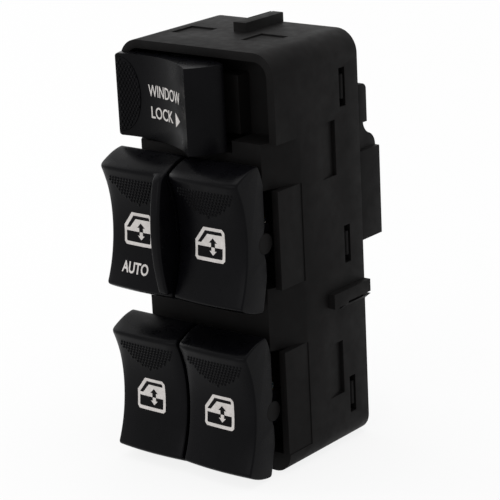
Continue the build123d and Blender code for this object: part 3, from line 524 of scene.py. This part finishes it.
def stations_across():
    """Places across the width, each with how much the outline shrinks there."""
    right = [(HALF_WIDTH - inset, shrink) for inset, shrink in quarter_round(EDGE_ROUND)]
    flat = HALF_WIDTH - EDGE_ROUND
    middle = [(-flat + 2 * flat * i / STEPS_ACROSS, 0.0) for i in range(1, STEPS_ACROSS)]
    left = [(-x, shrink) for x, shrink in right]
    return left + middle + right[::-1]


print("half of a rocker's width", round(HALF_WIDTH, 3), "mm in", len(stations_across()), "steps")

# %% How the face swells
FACE_SWELL = 0.7
FACE_START, FACE_BLEND = 4.0, 5.0
SHOULDER_WIDTH = 2.6
SHOULDER_DROP = 0.5
SHOULDER_START, SHOULDER_BLEND = -4.0, 16.0


def ease(value):
    """A smooth step from 0 to 1."""
    value = min(max(value, 0.0), 1.0)
    return value * value * (3 - 2 * value)


def face_shift(x, point):
    """How far the face swells forward in the middle and falls away at its shoulders."""
    front = ease((-point.x - FACE_START) / FACE_BLEND)
    swell = -FACE_SWELL * (1 - (x / HALF_WIDTH) ** 2)
    beyond = max(0.0, (abs(x) - HALF_WIDTH + SHOULDER_WIDTH) / SHOULDER_WIDTH)
    drop = SHOULDER_DROP * beyond**2 * ease((point.y - SHOULDER_START) / SHOULDER_BLEND)
    return front * (swell + drop)


print("swell in the middle of the face", round(-face_shift(0.0, LIP), 2), "mm")

# %% Sweep an outline into a solid
def inward_normals(points):
    """The unit normals of a closed outline that runs anticlockwise, pointing in."""
    normals = []
    for i in range(len(points)):
        along = (points[(i + 1) % len(points)] - points[i - 1]).normalized()
        normals.append(Vector((-along.y, along.x)))
    return normals


def swept_solid(name, points, stations, shift=None):
    """Joins shrunken copies of an outline across X into one closed mesh, in metres."""
    normals = inward_normals(points)
    shape = bmesh.new()
    rings = []
    for x, shrink in stations:
        ring = []
        for point, normal in zip(points, normals):
            moved = point + normal * shrink
            y = moved.x + (shift(x, point) if shift else 0.0)
            ring.append(shape.verts.new(Vector((x, y, moved.y)) * MM))
        rings.append(ring)
    count = len(points)
    for a, b in zip(rings, rings[1:]):
        for i in range(count):
            shape.faces.new((a[i], a[(i + 1) % count], b[(i + 1) % count], b[i]))
    shape.faces.new(rings[0][::-1])
    shape.faces.new(rings[-1])
    bmesh.ops.recalc_face_normals(shape, faces=shape.faces)
    bmesh.ops.triangulate(shape, faces=[f for f in shape.faces if len(f.verts) > 4])
    mesh = bpy.data.meshes.new(name)
    shape.to_mesh(mesh)
    shape.free()
    return link(name, mesh)


# %% Straight bars, and joining or cutting with them
def prism(name, points, low, high):
    """A straight bar across X with the given side view."""
    return swept_solid(name, [Vector(p) for p in points], [(low, 0.0), (high, 0.0)])


def combine(piece, tool, operation):
    """Cuts a tool out of a piece, or adds it, and deletes the tool."""
    cut = piece.modifiers.new("combine", "BOOLEAN")
    cut.operation = operation
    cut.object = tool
    cut.solver = "EXACT"
    settled = piece.evaluated_get(bpy.context.evaluated_depsgraph_get())
    mesh = bpy.data.meshes.new_from_object(settled)
    mesh.validate()
    piece.modifiers.clear()
    piece.data = mesh
    bpy.data.objects.remove(tool)


# %% [markdown]
# ## Inside a rocker
# The rocker is hollow and open at the back. Notches in its sides drop over the case's pivot pins, an
# ear behind each notch snaps over the pin, and a square stem guides the spring plunger. Faces could
# be pushed in by hand, but these features are flat-sided and meet the shell at clean lines, which
# suits booleans: each is a bar with its own side view, cut out or added.

# %% Side views of the ears and the hollow
WALL = 1.8
FACE_WALL = 2.0
FACE_HOLLOW = 3.5
HEEL_RADIUS = 17.4
HOLLOW_BACK = 2.0
HOLLOW_BEND = 3.0
PIN_HOLE = 2.68
PIN_SIDES = 32
EAR_RADIUS = 4.2
EAR_TAIL = 3.4
THROAT_HALF = 2.35
SEAT_STEPS = 24


def circle_points(radius, count):
    """A circle about the pivot."""
    turns = [2 * math.pi * i / count for i in range(count)]
    return [(radius * math.cos(turn), radius * math.sin(turn)) for turn in turns]


def ear_outline():
    """The ear from the side: a plate with a round seat and a throat to the back."""
    throat = math.asin(THROAT_HALF / PIN_HOLE)
    seat = [2 * math.pi - throat - (2 * math.pi - 2 * throat) * i / SEAT_STEPS for i in range(SEAT_STEPS + 1)]
    points = [(EAR_TAIL, EAR_RADIUS), (-EAR_RADIUS, EAR_RADIUS)]
    points += [(-EAR_RADIUS, -EAR_RADIUS), (EAR_TAIL, -EAR_RADIUS), (EAR_TAIL, -THROAT_HALF)]
    points += [(PIN_HOLE * math.cos(turn), PIN_HOLE * math.sin(turn)) for turn in seat]
    points.append((EAR_TAIL, THROAT_HALF))
    return points


def hollow_outline():
    """The inside of the rocker from the side."""
    lip_radius = LIP.length - WALL
    heel_radius = HEEL_RADIUS - WALL
    lip = Vector((LIP.x + FACE_WALL, math.sqrt(lip_radius**2 - (LIP.x + FACE_WALL) ** 2)))
    heel = Vector((HEEL.x + FACE_WALL, -math.sqrt(heel_radius**2 - (HEEL.x + FACE_WALL) ** 2)))
    middle = (lip + heel) / 2 + Vector((FACE_HOLLOW, 0))
    foot = (HOLLOW_BACK, -math.sqrt(heel_radius**2 - HOLLOW_BACK**2))
    top = (HOLLOW_BACK, math.sqrt(lip_radius**2 - HOLLOW_BACK**2))
    points = arc_points(lip, middle, heel, 16)
    points += arc_points(heel, (-HOLLOW_BEND, -math.sqrt(heel_radius**2 - HOLLOW_BEND**2)), foot, 8)
    points += line_points(foot, top, 2)
    points += arc_points(top, (-HOLLOW_BEND, math.sqrt(lip_radius**2 - HOLLOW_BEND**2)), lip, 8)
    return points


print("points of the ear", len(ear_outline()), "and of the hollow", len(hollow_outline()))

# %% Hollow, notches, ears and stem
NOTCH_TAIL = 0.5
NOTCH_HALF = 6.6
NOTCH_SETBACK = 0.9
NOTCH_SEAT = 2.1
EAR_THICKNESS = 1.2
EAR_ROOT = 0.2
STEM_HALF = 3.6
STEM_TAIL = 8.1
STEM_ROOT = 0.6
BORE_HALF = 2.4
BORE_FLOOR = 0.4
OVERSHOOT = 1.0


def open_rocker(piece):
    """Hollows a solid rocker and gives it its notches, ears and stem."""
    inner = HALF_WIDTH - WALL
    outer = HALF_WIDTH + OVERSHOOT
    combine(piece, prism("hollow", hollow_outline(), -inner, inner), "DIFFERENCE")
    flare = [(NOTCH_TAIL, NOTCH_HALF), (-NOTCH_SETBACK, NOTCH_SEAT)]
    flare += [(y, -z) for y, z in reversed(flare)]
    combine(piece, prism("flare", flare, -outer, outer), "DIFFERENCE")
    combine(piece, prism("seat", circle_points(PIN_HOLE, PIN_SIDES), -outer, outer), "DIFFERENCE")
    for low, high in ((inner - EAR_THICKNESS, inner + EAR_ROOT), (-inner - EAR_ROOT, EAR_THICKNESS - inner)):
        combine(piece, prism("ear", ear_outline(), low, high), "UNION")
    face_back = (LIP.x + HEEL.x) / 2 + FACE_HOLLOW + FACE_WALL
    front, back = face_back - STEM_ROOT, STEM_TAIL
    stem = [(front, STEM_HALF), (front, -STEM_HALF), (back, -STEM_HALF), (back, STEM_HALF)]
    combine(piece, prism("stem", stem, -STEM_HALF, STEM_HALF), "UNION")
    front, back = face_back + BORE_FLOOR, STEM_TAIL + OVERSHOOT
    bore = [(front, BORE_HALF), (front, -BORE_HALF), (back, -BORE_HALF), (back, BORE_HALF)]
    combine(piece, prism("bore", bore, -BORE_HALF, BORE_HALF), "DIFFERENCE")


# %% [markdown]
# ## The driver's fin
# The driver's rocker carries a thin fin along its right edge, so that a finger finds it without
# looking. It is part of the same moulding, so it is joined to the shell and not laid on it. It could
# be bevelled afterwards, but a boolean leaves edges that bevel badly, so its rounded front edge is
# made first, by shrinking its side view towards both flanks.

# %% The fin
FIN_THICKNESS = 3.0
FIN_ROUND = 0.8
FIN_HEAD = (-8.3, 18.3)
FIN_CREST = (-12.0, 16.7)
FIN_FRONT = (-14.2, 1.8)
FIN_FOOT = (-12.2, -13.8)
FIN_FOOT_ROOT = (-9.6, -13.9)
FIN_MIDDLE_ROOT = (-6.6, 1.8)
FIN_CREST_ROOT = (-9.3, 15.5)
FIN_SOFT_CORNERS = ((FIN_CREST, 1.6), (FIN_FOOT, 1.0))


def fin_solid():
    """The driver's fin at the right edge of the rocker."""
    points = line_points(FIN_HEAD, FIN_CREST, 4)
    points += arc_points(FIN_CREST, FIN_FRONT, FIN_FOOT, 36)
    points += line_points(FIN_FOOT, FIN_FOOT_ROOT, 3)
    points += arc_points(FIN_FOOT_ROOT, FIN_MIDDLE_ROOT, FIN_CREST_ROOT, 16)
    points += line_points(FIN_CREST_ROOT, FIN_HEAD, 3)
    for corner, reach in FIN_SOFT_CORNERS:
        points = soften_corner(points, corner, reach)
    stations = quarter_round(FIN_ROUND)
    right = [(HALF_WIDTH - inset, shrink) for inset, shrink in stations]
    left = [(HALF_WIDTH - FIN_THICKNESS + inset, shrink) for inset, shrink in stations]
    return swept_solid("fin", points, left + right[::-1])


# %% Make the four rockers
def hollow_rocker(name, fin=None):
    """A finished rocker about its own pivot, with a fin joined on where one is given."""
    shell = swept_solid(name, outline, stations_across(), face_shift)
    if fin:
        combine(shell, fin, "UNION")
    open_rocker(shell)
    return shell


rocker_shells = {
    "driver": hollow_rocker("shell_driver", fin_solid()),
    "passenger": hollow_rocker("shell_passenger"),
}
for name in ("rear_left", "rear_right"):
    rocker_shells[name] = link(f"shell_{name}", rocker_shells["passenger"].data.copy())
for name, shell in rocker_shells.items():
    shell.data.transform(Matrix.Translation(pivots[name]))
    shade(shell)
    dress(shell, button_black)
    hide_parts(f"rocker_{name}")
    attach(shell, f"button_{name}")
    print(shell.name, "faces", len(shell.data.polygons))

# %% [markdown]
# ## Finding the face
# The grip pads and the printed symbols lie on curved faces. A shrinkwrap modifier could press them
# on, but it would flatten them too. Instead, a ray is sent from in front of the button straight back
# onto its mesh. Where it lands gives the place and the direction of the surface, so that whatever is
# laid there follows the face exactly.

# %% Land a point on a button's face
IN_FRONT = 0.01


def face_finder(piece):
    """Returns a function that lands (X, Z) in metres on the front of a piece."""
    piece.data.calc_loop_triangles()
    corners = [v.co.copy() for v in piece.data.vertices]
    triangles = [tuple(t.vertices) for t in piece.data.loop_triangles]
    tree = BVHTree.FromPolygons(corners, triangles)
    front = min(c.y for c in corners) - IN_FRONT

    def find(x, z):
        place, normal, _, _ = tree.ray_cast(Vector((x, front, z)), Vector((0, 1, 0)))
        return place, normal

    return find


faces = {name: face_finder(shell) for name, shell in rocker_shells.items()}
faces["lock"] = face_finder(lock_shell)
landed, _ = faces["passenger"](pivots["passenger"].x, pivots["passenger"].z)
print("face of the passenger's rocker at Y", round(landed.y / MM, 2), "mm")

# %% [markdown]
# ## Grip pads
# Under each lip, and at the lock's left end, a patch of small pimples gives the finger grip. On the
# mould they are drilled pits in staggered rows. A bump texture could draw them, but their size, about
# a millimetre from one to the next, shows clearly in the photograph, so they are low domes of real
# geometry. The lock's patch is also framed by a fine raised ridge, swept along its outline.

# %% One dome
DOT_RADIUS = 0.40
DOT_HEIGHT = 0.30
DOT_SIDES = 8
DOME_RINGS = ((1.0, -0.1), (0.78, 0.62), (0.40, 0.93))


def add_dome(shape, place, normal):
    """A low dome of three rings, standing on a face."""
    across = normal.orthogonal().normalized()
    upward = normal.cross(across)
    rings = []
    for radius, height in DOME_RINGS:
        ring = []
        for i in range(DOT_SIDES):
            turn = 2 * math.pi * i / DOT_SIDES
            out = (across * math.cos(turn) + upward * math.sin(turn)) * radius * DOT_RADIUS
            ring.append(shape.verts.new(place + (out + normal * height * DOT_HEIGHT) * MM))
        rings.append(ring)
    for low, high in zip(rings, rings[1:]):
        for i in range(DOT_SIDES):
            j = (i + 1) % DOT_SIDES
            shape.faces.new((low[i], low[j], high[j], high[i]))
    shape.faces.new(rings[0][::-1])
    shape.faces.new(rings[-1])


print("a dome is", 2 * DOT_RADIUS, "mm wide and", DOT_HEIGHT, "mm high")

# %% A ridge along a path
RIDGE_HALF = 0.16
RIDGE_HEIGHT = 0.20


def add_ridge(shape, find, path):
    """A thin ridge along a path of (X, Z) places on a face."""
    landed = [find(x * MM, z * MM) for x, z in path]
    landed = [(place, normal) for place, normal in landed if place is not None]
    rings = []
    for i, (place, normal) in enumerate(landed):
        along = (landed[min(i + 1, len(landed) - 1)][0] - landed[max(i - 1, 0)][0]).normalized()
        side = normal.cross(along) * RIDGE_HALF
        low = normal * -RIDGE_HEIGHT
        ends = (side + low, normal * RIDGE_HEIGHT, low - side)
        rings.append([shape.verts.new(place + end * MM) for end in ends])
    for a, b in zip(rings, rings[1:]):
        for i in range(3):
            shape.faces.new((a[i], a[(i + 1) % 3], b[(i + 1) % 3], b[i]))
    shape.faces.new(rings[0][::-1])
    shape.faces.new(rings[-1])


# %% Fill a patch with domes
DOT_PITCH = 0.98
PAD_SHARP = math.radians(50)


def staggered_places(inside, x_range, z_range):
    """Rows of points, every second row shifted by half a pitch, that lie inside a shape."""
    row_step = DOT_PITCH * math.sqrt(3) / 2
    places = []
    rows = int((z_range[1] - z_range[0]) / row_step)
    columns = int((x_range[1] - x_range[0]) / DOT_PITCH)
    for row in range(rows + 1):
        for column in range(columns + 1):
            x = x_range[0] + (column + 0.5 * (row % 2)) * DOT_PITCH
            z = z_range[1] - row * row_step
            if inside(x, z):
                places.append((x, z))
    return places


def build_pad(name, find, places, border, body):
    """One mesh of domes and their border on a button's face."""
    shape = bmesh.new()
    for x, z in places:
        place, normal = find(x * MM, z * MM)
        if place is not None:
            add_dome(shape, place, normal)
    if border:
        add_ridge(shape, find, border)
    mesh = bpy.data.meshes.new(name)
    shape.to_mesh(mesh)
    shape.free()
    pad = link(name, mesh)
    shade(pad, PAD_SHARP)
    dress(pad, button_black)
    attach(pad, body)
    print(name, "dots", len(places))


# %% Pads under the rockers' lips
PAD_TOP = 14.2
PAD_HALF = 8.9
PAD_DROP = 6.9
PAD_POWER = 1.45


def under_lip(x, z):
    """Whether a point about the pivot lies in the patch under the lip, which narrows downwards."""
    across, down = abs(x / PAD_HALF), (PAD_TOP - z) / PAD_DROP
    return z <= PAD_TOP and across**PAD_POWER + down**PAD_POWER < 1


for name in rocker_shells:
    centre = pivots[name] / MM
    spots = staggered_places(under_lip, (-PAD_HALF, PAD_HALF), (PAD_TOP - PAD_DROP, PAD_TOP))
    if name == "driver":
        spots = [(x, z) for x, z in spots if x < HALF_WIDTH - FIN_THICKNESS - DOT_RADIUS]
    placed = [(centre.x + x, centre.z + z) for x, z in spots]
    build_pad(f"grip_{name}", faces[name], placed, [], f"button_{name}")

# %% The pad at the lock's left end
LOCK_PAD_EDGE = -22.7
LOCK_PAD_REACH = 6.3
LOCK_PAD_HALF = 9.7
LOCK_PAD_MIDDLE = 95.3
PAD_FILL = 0.88
RIDGE_STEPS = 48


def lock_end(x, z):
    """Whether a point lies in the half ellipse at the lock's left end."""
    across, upward = (x - LOCK_PAD_EDGE) / LOCK_PAD_REACH, (z - LOCK_PAD_MIDDLE) / LOCK_PAD_HALF
    return x >= LOCK_PAD_EDGE and across**2 + upward**2 < PAD_FILL


spots = staggered_places(
    lock_end,
    (LOCK_PAD_EDGE, LOCK_PAD_EDGE + LOCK_PAD_REACH),
    (LOCK_PAD_MIDDLE - LOCK_PAD_HALF, LOCK_PAD_MIDDLE + LOCK_PAD_HALF),
)
border = []
for i in range(RIDGE_STEPS + 1):
    turn = math.pi * i / RIDGE_STEPS
    x = LOCK_PAD_EDGE + LOCK_PAD_REACH * math.sin(turn)
    border.append((x, LOCK_PAD_MIDDLE + LOCK_PAD_HALF * math.cos(turn)))
build_pad("grip_lock", faces["lock"], spots, border, "button_lock")

# %% [markdown]
# ## Printed symbols
# The symbols are laser-cut through the black coat, so that light shines through them at night. By day
# they are a slightly warm white, level with the face. They could be an image texture, but outlines
# stay sharp at any distance. So a flat drawing is cut into narrow strips, so that it can bend, then
# every point is landed on the face and lifted by a few hundredths of a millimetre.

# %% White of the symbols
PRINT_CLOUD_MM = 1.4
PRINT_GLOSS_MM = 0.6
PRINT_GRAIN_MM = 0.2
PRINT_GRAIN_DEPTH_MM = 0.003
PRINT_ROUGHNESS = (0.42, 0.55)
PRINT_REFLECTION = 0.2


def printed_white():
    """The translucent white under the coat, a little uneven."""
    material, tree, shader = new_material("symbol_white")
    cloud = noise_of_size(tree, PRINT_CLOUD_MM, detail=3.0)
    colour = mixed_colours(tree, cloud, (0.56, 0.53, 0.51), (0.63, 0.60, 0.58))
    tree.links.new(colour, shader.inputs["Base Color"])
    gloss = spread(tree, noise_of_size(tree, PRINT_GLOSS_MM), *PRINT_ROUGHNESS)
    tree.links.new(gloss, shader.inputs["Roughness"])
    raised(tree, shader, noise_of_size(tree, PRINT_GRAIN_MM, detail=1.0), PRINT_GRAIN_DEPTH_MM)
    shader.inputs["Specular IOR Level"].default_value = PRINT_REFLECTION
    return material


symbol_white = printed_white()
print("print", symbol_white.name)

# %% Cut a flat drawing into strips
STRIP = 0.7
MERGE_DISTANCE = 0.001


def cut_into_strips(shape):
    """Cuts a flat drawing along X and Z so that it can follow a curve."""
    for axis in (0, 2):
        values = [v.co[axis] for v in shape.verts]
        low, high = min(values), max(values)
        normal = Vector((1, 0, 0)) if axis == 0 else Vector((0, 0, 1))
        for i in range(1, int((high - low) / STRIP) + 1):
            everything = shape.verts[:] + shape.edges[:] + shape.faces[:]
            cut = normal * (low + i * STRIP)
            bmesh.ops.bisect_plane(shape, geom=everything, plane_co=cut, plane_no=normal)
    bmesh.ops.remove_doubles(shape, verts=shape.verts[:], dist=MERGE_DISTANCE)
    bmesh.ops.triangulate(shape, faces=shape.faces[:])


print("strips", STRIP, "mm wide")

# %% Lay a flat drawing on a face
PRINT_LIFT = 0.035
PRINT_DEPTH = 0.05


def lay_on_face(name, shape, find, body):
    """Lands a flat drawing in (X, Z) millimetres on a face and gives it a little thickness."""
    cut_into_strips(shape)
    tops, bottoms = {}, {}
    laid = bmesh.new()
    for vertex in shape.verts:
        place, normal = find(vertex.co.x * MM, vertex.co.z * MM)
        if place is None:
            raise ValueError(f"{name} runs off the face at {tuple(vertex.co)}")
        tops[vertex] = laid.verts.new(place + normal * PRINT_LIFT * MM)
        bottoms[vertex] = laid.verts.new(place + normal * (PRINT_LIFT - PRINT_DEPTH) * MM)
    for face in shape.faces:
        laid.faces.new([tops[v] for v in face.verts])
        laid.faces.new([bottoms[v] for v in reversed(face.verts)])
    for edge in shape.edges:
        if len(edge.link_faces) == 1:
            a, b = edge.verts
            laid.faces.new((tops[a], tops[b], bottoms[b], bottoms[a]))
    bmesh.ops.recalc_face_normals(laid, faces=laid.faces)
    mesh = bpy.data.meshes.new(name)
    laid.to_mesh(mesh)
    laid.free()
    shape.free()
    piece = link(name, mesh)
    dress(piece, symbol_white)
    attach(piece, body)
    print(name, "faces", len(mesh.polygons))


# %% [markdown]
# ## The door symbol
# Each rocker shows which window it moves by a small car door, with an arrow up in the glass and an
# arrow down below it. It could be traced, but a few plain outlines in millimetres, measured from the
# symbol's lower left corner, give cleaner lines: the frame is the band between two outlines, and the
# glass and the arrow below it are one shape each.

# %% Outlines of the door symbol
SYMBOL_WIDTH = 9.5
SYMBOL_HEIGHT = 8.7
DOOR_OUTSIDE = [
    (0.7, 0), (8.9, 0), (9.5, 0.6), (9.5, 3.65), (9.5, 6.95), (9.5, 7.9), (8.8, 8.7), (3.0, 8.7),
    (0, 5.0), (0, 3.65), (0, 0.7),
]
DOOR_INSIDE = [
    (1.0, 0.88), (8.5, 0.88), (8.72, 1.1), (8.72, 3.65), (8.72, 6.95), (8.72, 7.6), (8.5, 7.86),
    (3.45, 7.86), (0.74, 4.5), (0.74, 3.65), (0.74, 1.14),
]
WINDOW_GLASS = [
    (0.74, 3.65), (5.05, 3.65), (5.05, 4.75), (4.4, 4.75), (5.7, 6.05), (7.0, 4.75), (6.35, 4.75),
    (6.35, 3.65), (8.72, 3.65), (8.72, 6.95), (4.05, 6.95), (1.9, 4.5), (0.74, 4.5),
]
ARROW_DOWN = [
    (5.18, 3.65), (5.18, 2.7), (4.6, 2.7), (5.7, 1.6), (6.8, 2.7), (6.22, 2.7), (6.22, 3.65),
]
print("door symbol", SYMBOL_WIDTH, "by", SYMBOL_HEIGHT, "mm")

# %% Print the door symbols
SYMBOL_SHIFT = {
    "driver": (-1.4, 0.7),
    "passenger": (-0.43, 0.35),
    "rear_left": (-0.65, 0.3),
    "rear_right": (-0.43, 0.3),
}


def door_symbol(left, foot):
    """A car door with its window, an arrow up in the glass and an arrow down below it."""
    shape = bmesh.new()

    def corners(points):
        return [shape.verts.new((left + x, 0, foot + z)) for x, z in points]

    outside, inside = corners(DOOR_OUTSIDE), corners(DOOR_INSIDE)
    count = len(outside)
    for i in range(count):
        j = (i + 1) % count
        shape.faces.new((outside[i], outside[j], inside[j], inside[i]))
    shape.faces.new(corners(WINDOW_GLASS))
    shape.faces.new(corners(ARROW_DOWN))
    return shape


for name, (across, upward) in SYMBOL_SHIFT.items():
    centre = pivots[name] / MM
    drawing = door_symbol(centre.x + across - SYMBOL_WIDTH / 2, centre.z + upward - SYMBOL_HEIGHT / 2)
    lay_on_face(f"symbol_{name}", drawing, faces[name], f"button_{name}")

# %% [markdown]
# ## Words
# Three plain words say what the buttons do, as ON and OFF do on other switches. A text object could
# be bent with a curve modifier, but it would not follow a face that swells both ways. So the words
# are set in the plain lettering that Blender carries, squeezed to a narrow face, stretched to the
# right height, and laid on the buttons in the same way as the door symbol.

# %% Set a word
LETTER_STEPS = 3
LETTER_WELD = 1e-5


def word_shape(text, left, foot, width, height, weight):
    """A word as a flat drawing that fills the given box."""
    letters = bpy.data.curves.new("word", "FONT")
    letters.body = text
    letters.offset = weight
    letters.resolution_u = LETTER_STEPS
    holder = link("word", letters)
    settled = holder.evaluated_get(bpy.context.evaluated_depsgraph_get())
    mesh = bpy.data.meshes.new_from_object(settled)
    bpy.data.objects.remove(holder)
    low = Vector([min(v.co[i] for v in mesh.vertices) for i in range(2)])
    high = Vector([max(v.co[i] for v in mesh.vertices) for i in range(2)])
    shape = bmesh.new()
    shape.from_mesh(mesh)
    bmesh.ops.remove_doubles(shape, verts=shape.verts, dist=LETTER_WELD)
    for vertex in shape.verts:
        x = left + (vertex.co.x - low.x) / (high.x - low.x) * width
        z = foot + (vertex.co.y - low.y) / (high.y - low.y) * height
        vertex.co = Vector((x, 0, z))
    return shape


# %% Print the words and the lock's arrow
WORDS = (
    ("word_auto", "AUTO", "driver", (-17.0, 51.5, 8.9, 2.9), 0.022),
    ("word_window", "WINDOW", "lock", (-13.6, 95.4, 13.8, 3.1), 0.006),
    ("word_lock", "LOCK", "lock", (-13.0, 89.8, 8.9, 3.1), 0.012),
)
LOCK_ARROW = ((-2.7, 0, 89.2), (-0.3, 0, 91.1), (-2.7, 0, 92.9))

for name, text, button, box, weight in WORDS:
    lay_on_face(name, word_shape(text, *box, weight), faces[button], f"button_{button}")
marker = bmesh.new()
marker.faces.new([marker.verts.new(p) for p in LOCK_ARROW])
lay_on_face("mark_lock", marker, faces["lock"], "button_lock")

# %% [markdown]
# ## The studio
# The block stands on a pale sweep under soft light. One large soft lamp hangs above it, so that the
# top and the upper edges catch light, one stands to the left, and a weaker one fills the front.
# Stronger lamps would also whiten the floor, but they would turn the black grey. So the floor and the
# world are white to the camera and in reflections, as paper is in a product picture, and light the
# object only at a plain level.

# %% Floor
FLOOR_HALF = 3.0
FLOOR_COLOUR = (0.86, 0.86, 0.86, 1)
FLOOR_ROUGHNESS = 0.9
BACKDROP_WHITE = 1.0
SHADOW_REACH, FADE_END = 0.25, 0.9
WHITE_NEAR, WHITE_FAR = 0.85, 1.0


def seen_rays(tree):
    """1 for what the camera sees, directly, in a reflection or through glass, and 0 for light."""
    rays = tree.nodes.new("ShaderNodeLightPath")
    seen = calculated(tree, "MAXIMUM", rays.outputs["Is Camera Ray"], rays.outputs["Is Glossy Ray"])
    return calculated(tree, "MAXIMUM", seen, rays.outputs["Is Transmission Ray"])


def pale_floor():
    """A white floor that takes the object's shadow near it and fades to pure white far away."""
    material, tree, shader = new_material("pale_floor")
    shader.inputs["Base Color"].default_value = FLOOR_COLOUR
    shader.inputs["Roughness"].default_value = FLOOR_ROUGHNESS
    shader.inputs["Specular IOR Level"].default_value = 0.0
    glow = add_node(tree, "ShaderNodeEmission", Strength=BACKDROP_WHITE)
    place = tree.nodes.new("ShaderNodeTexCoord")
    away = tree.nodes.new("ShaderNodeVectorMath")
    away.operation = "LENGTH"
    fade = add_node(
        tree, "ShaderNodeMapRange",
        From_Min=SHADOW_REACH, From_Max=FADE_END, To_Min=WHITE_NEAR, To_Max=WHITE_FAR,
    )
    tree.links.new(place.outputs["Object"], away.inputs[0])
    tree.links.new(away.outputs["Value"], fade.inputs["Value"])
    blend = tree.nodes.new("ShaderNodeMixShader")
    share = calculated(tree, "MULTIPLY", seen_rays(tree), fade.outputs["Result"])
    tree.links.new(share, blend.inputs["Fac"])
    tree.links.new(shader.outputs[0], blend.inputs[1])
    tree.links.new(glow.outputs[0], blend.inputs[2])
    tree.links.new(blend.outputs[0], tree.nodes["Material Output"].inputs["Surface"])
    return material


floor_mesh = bpy.data.meshes.new("floor")
corners = [(x * FLOOR_HALF, y * FLOOR_HALF, 0) for x, y in ((-1, -1), (1, -1), (1, 1), (-1, 1))]
floor_mesh.from_pydata(corners, [], [(0, 1, 2, 3)])
floor = link("floor", floor_mesh)
dress(floor, pale_floor())
print("floor", 2 * FLOOR_HALF, "m wide")

# %% World
WORLD_LEVEL = 0.7


def studio_world():
    """White to the camera and in reflections, a plain grey as a light."""
    world = bpy.data.worlds.new("studio")
    world.use_nodes = True
    tree = world.node_tree
    background = tree.nodes["Background"]
    background.inputs["Color"].default_value = (1, 1, 1, 1)
    level = add_node(tree, "ShaderNodeMapRange", To_Min=WORLD_LEVEL, To_Max=BACKDROP_WHITE)
    tree.links.new(seen_rays(tree), level.inputs["Value"])
    tree.links.new(level.outputs["Result"], background.inputs["Strength"])
    bpy.context.scene.world = world


studio_world()
print("world lights at", WORLD_LEVEL, "and shows at", BACKDROP_WHITE)

# %% Lamps
LIT_SPOT = Vector((0, 0, 0.06))
LAMPS = (
    ("lamp_left", (-0.85, -0.1, 0.45), 0.7, 2.6),
    ("lamp_above", (0.0, 0.1, 1.0), 0.7, 3.0),
    ("lamp_front", (-0.1, -1.0, 0.35), 0.6, 1.5),
)


def soft_lamp(name, place, size, power):
    """A square soft lamp that faces the object: its size in metres and its power in watts."""
    data = bpy.data.lights.new(name, "AREA")
    data.shape = "SQUARE"
    data.size = size
    data.energy = power
    lamp = bpy.data.objects.new(name, data)
    lamp.location = place
    lamp.rotation_euler = (LIT_SPOT - Vector(place)).to_track_quat("-Z", "Y").to_euler()
    bpy.context.scene.collection.objects.link(lamp)
    print(name, round((LIT_SPOT - Vector(place)).length, 2), "m away")


for name, place, size, power in LAMPS:
    soft_lamp(name, place, size, power)
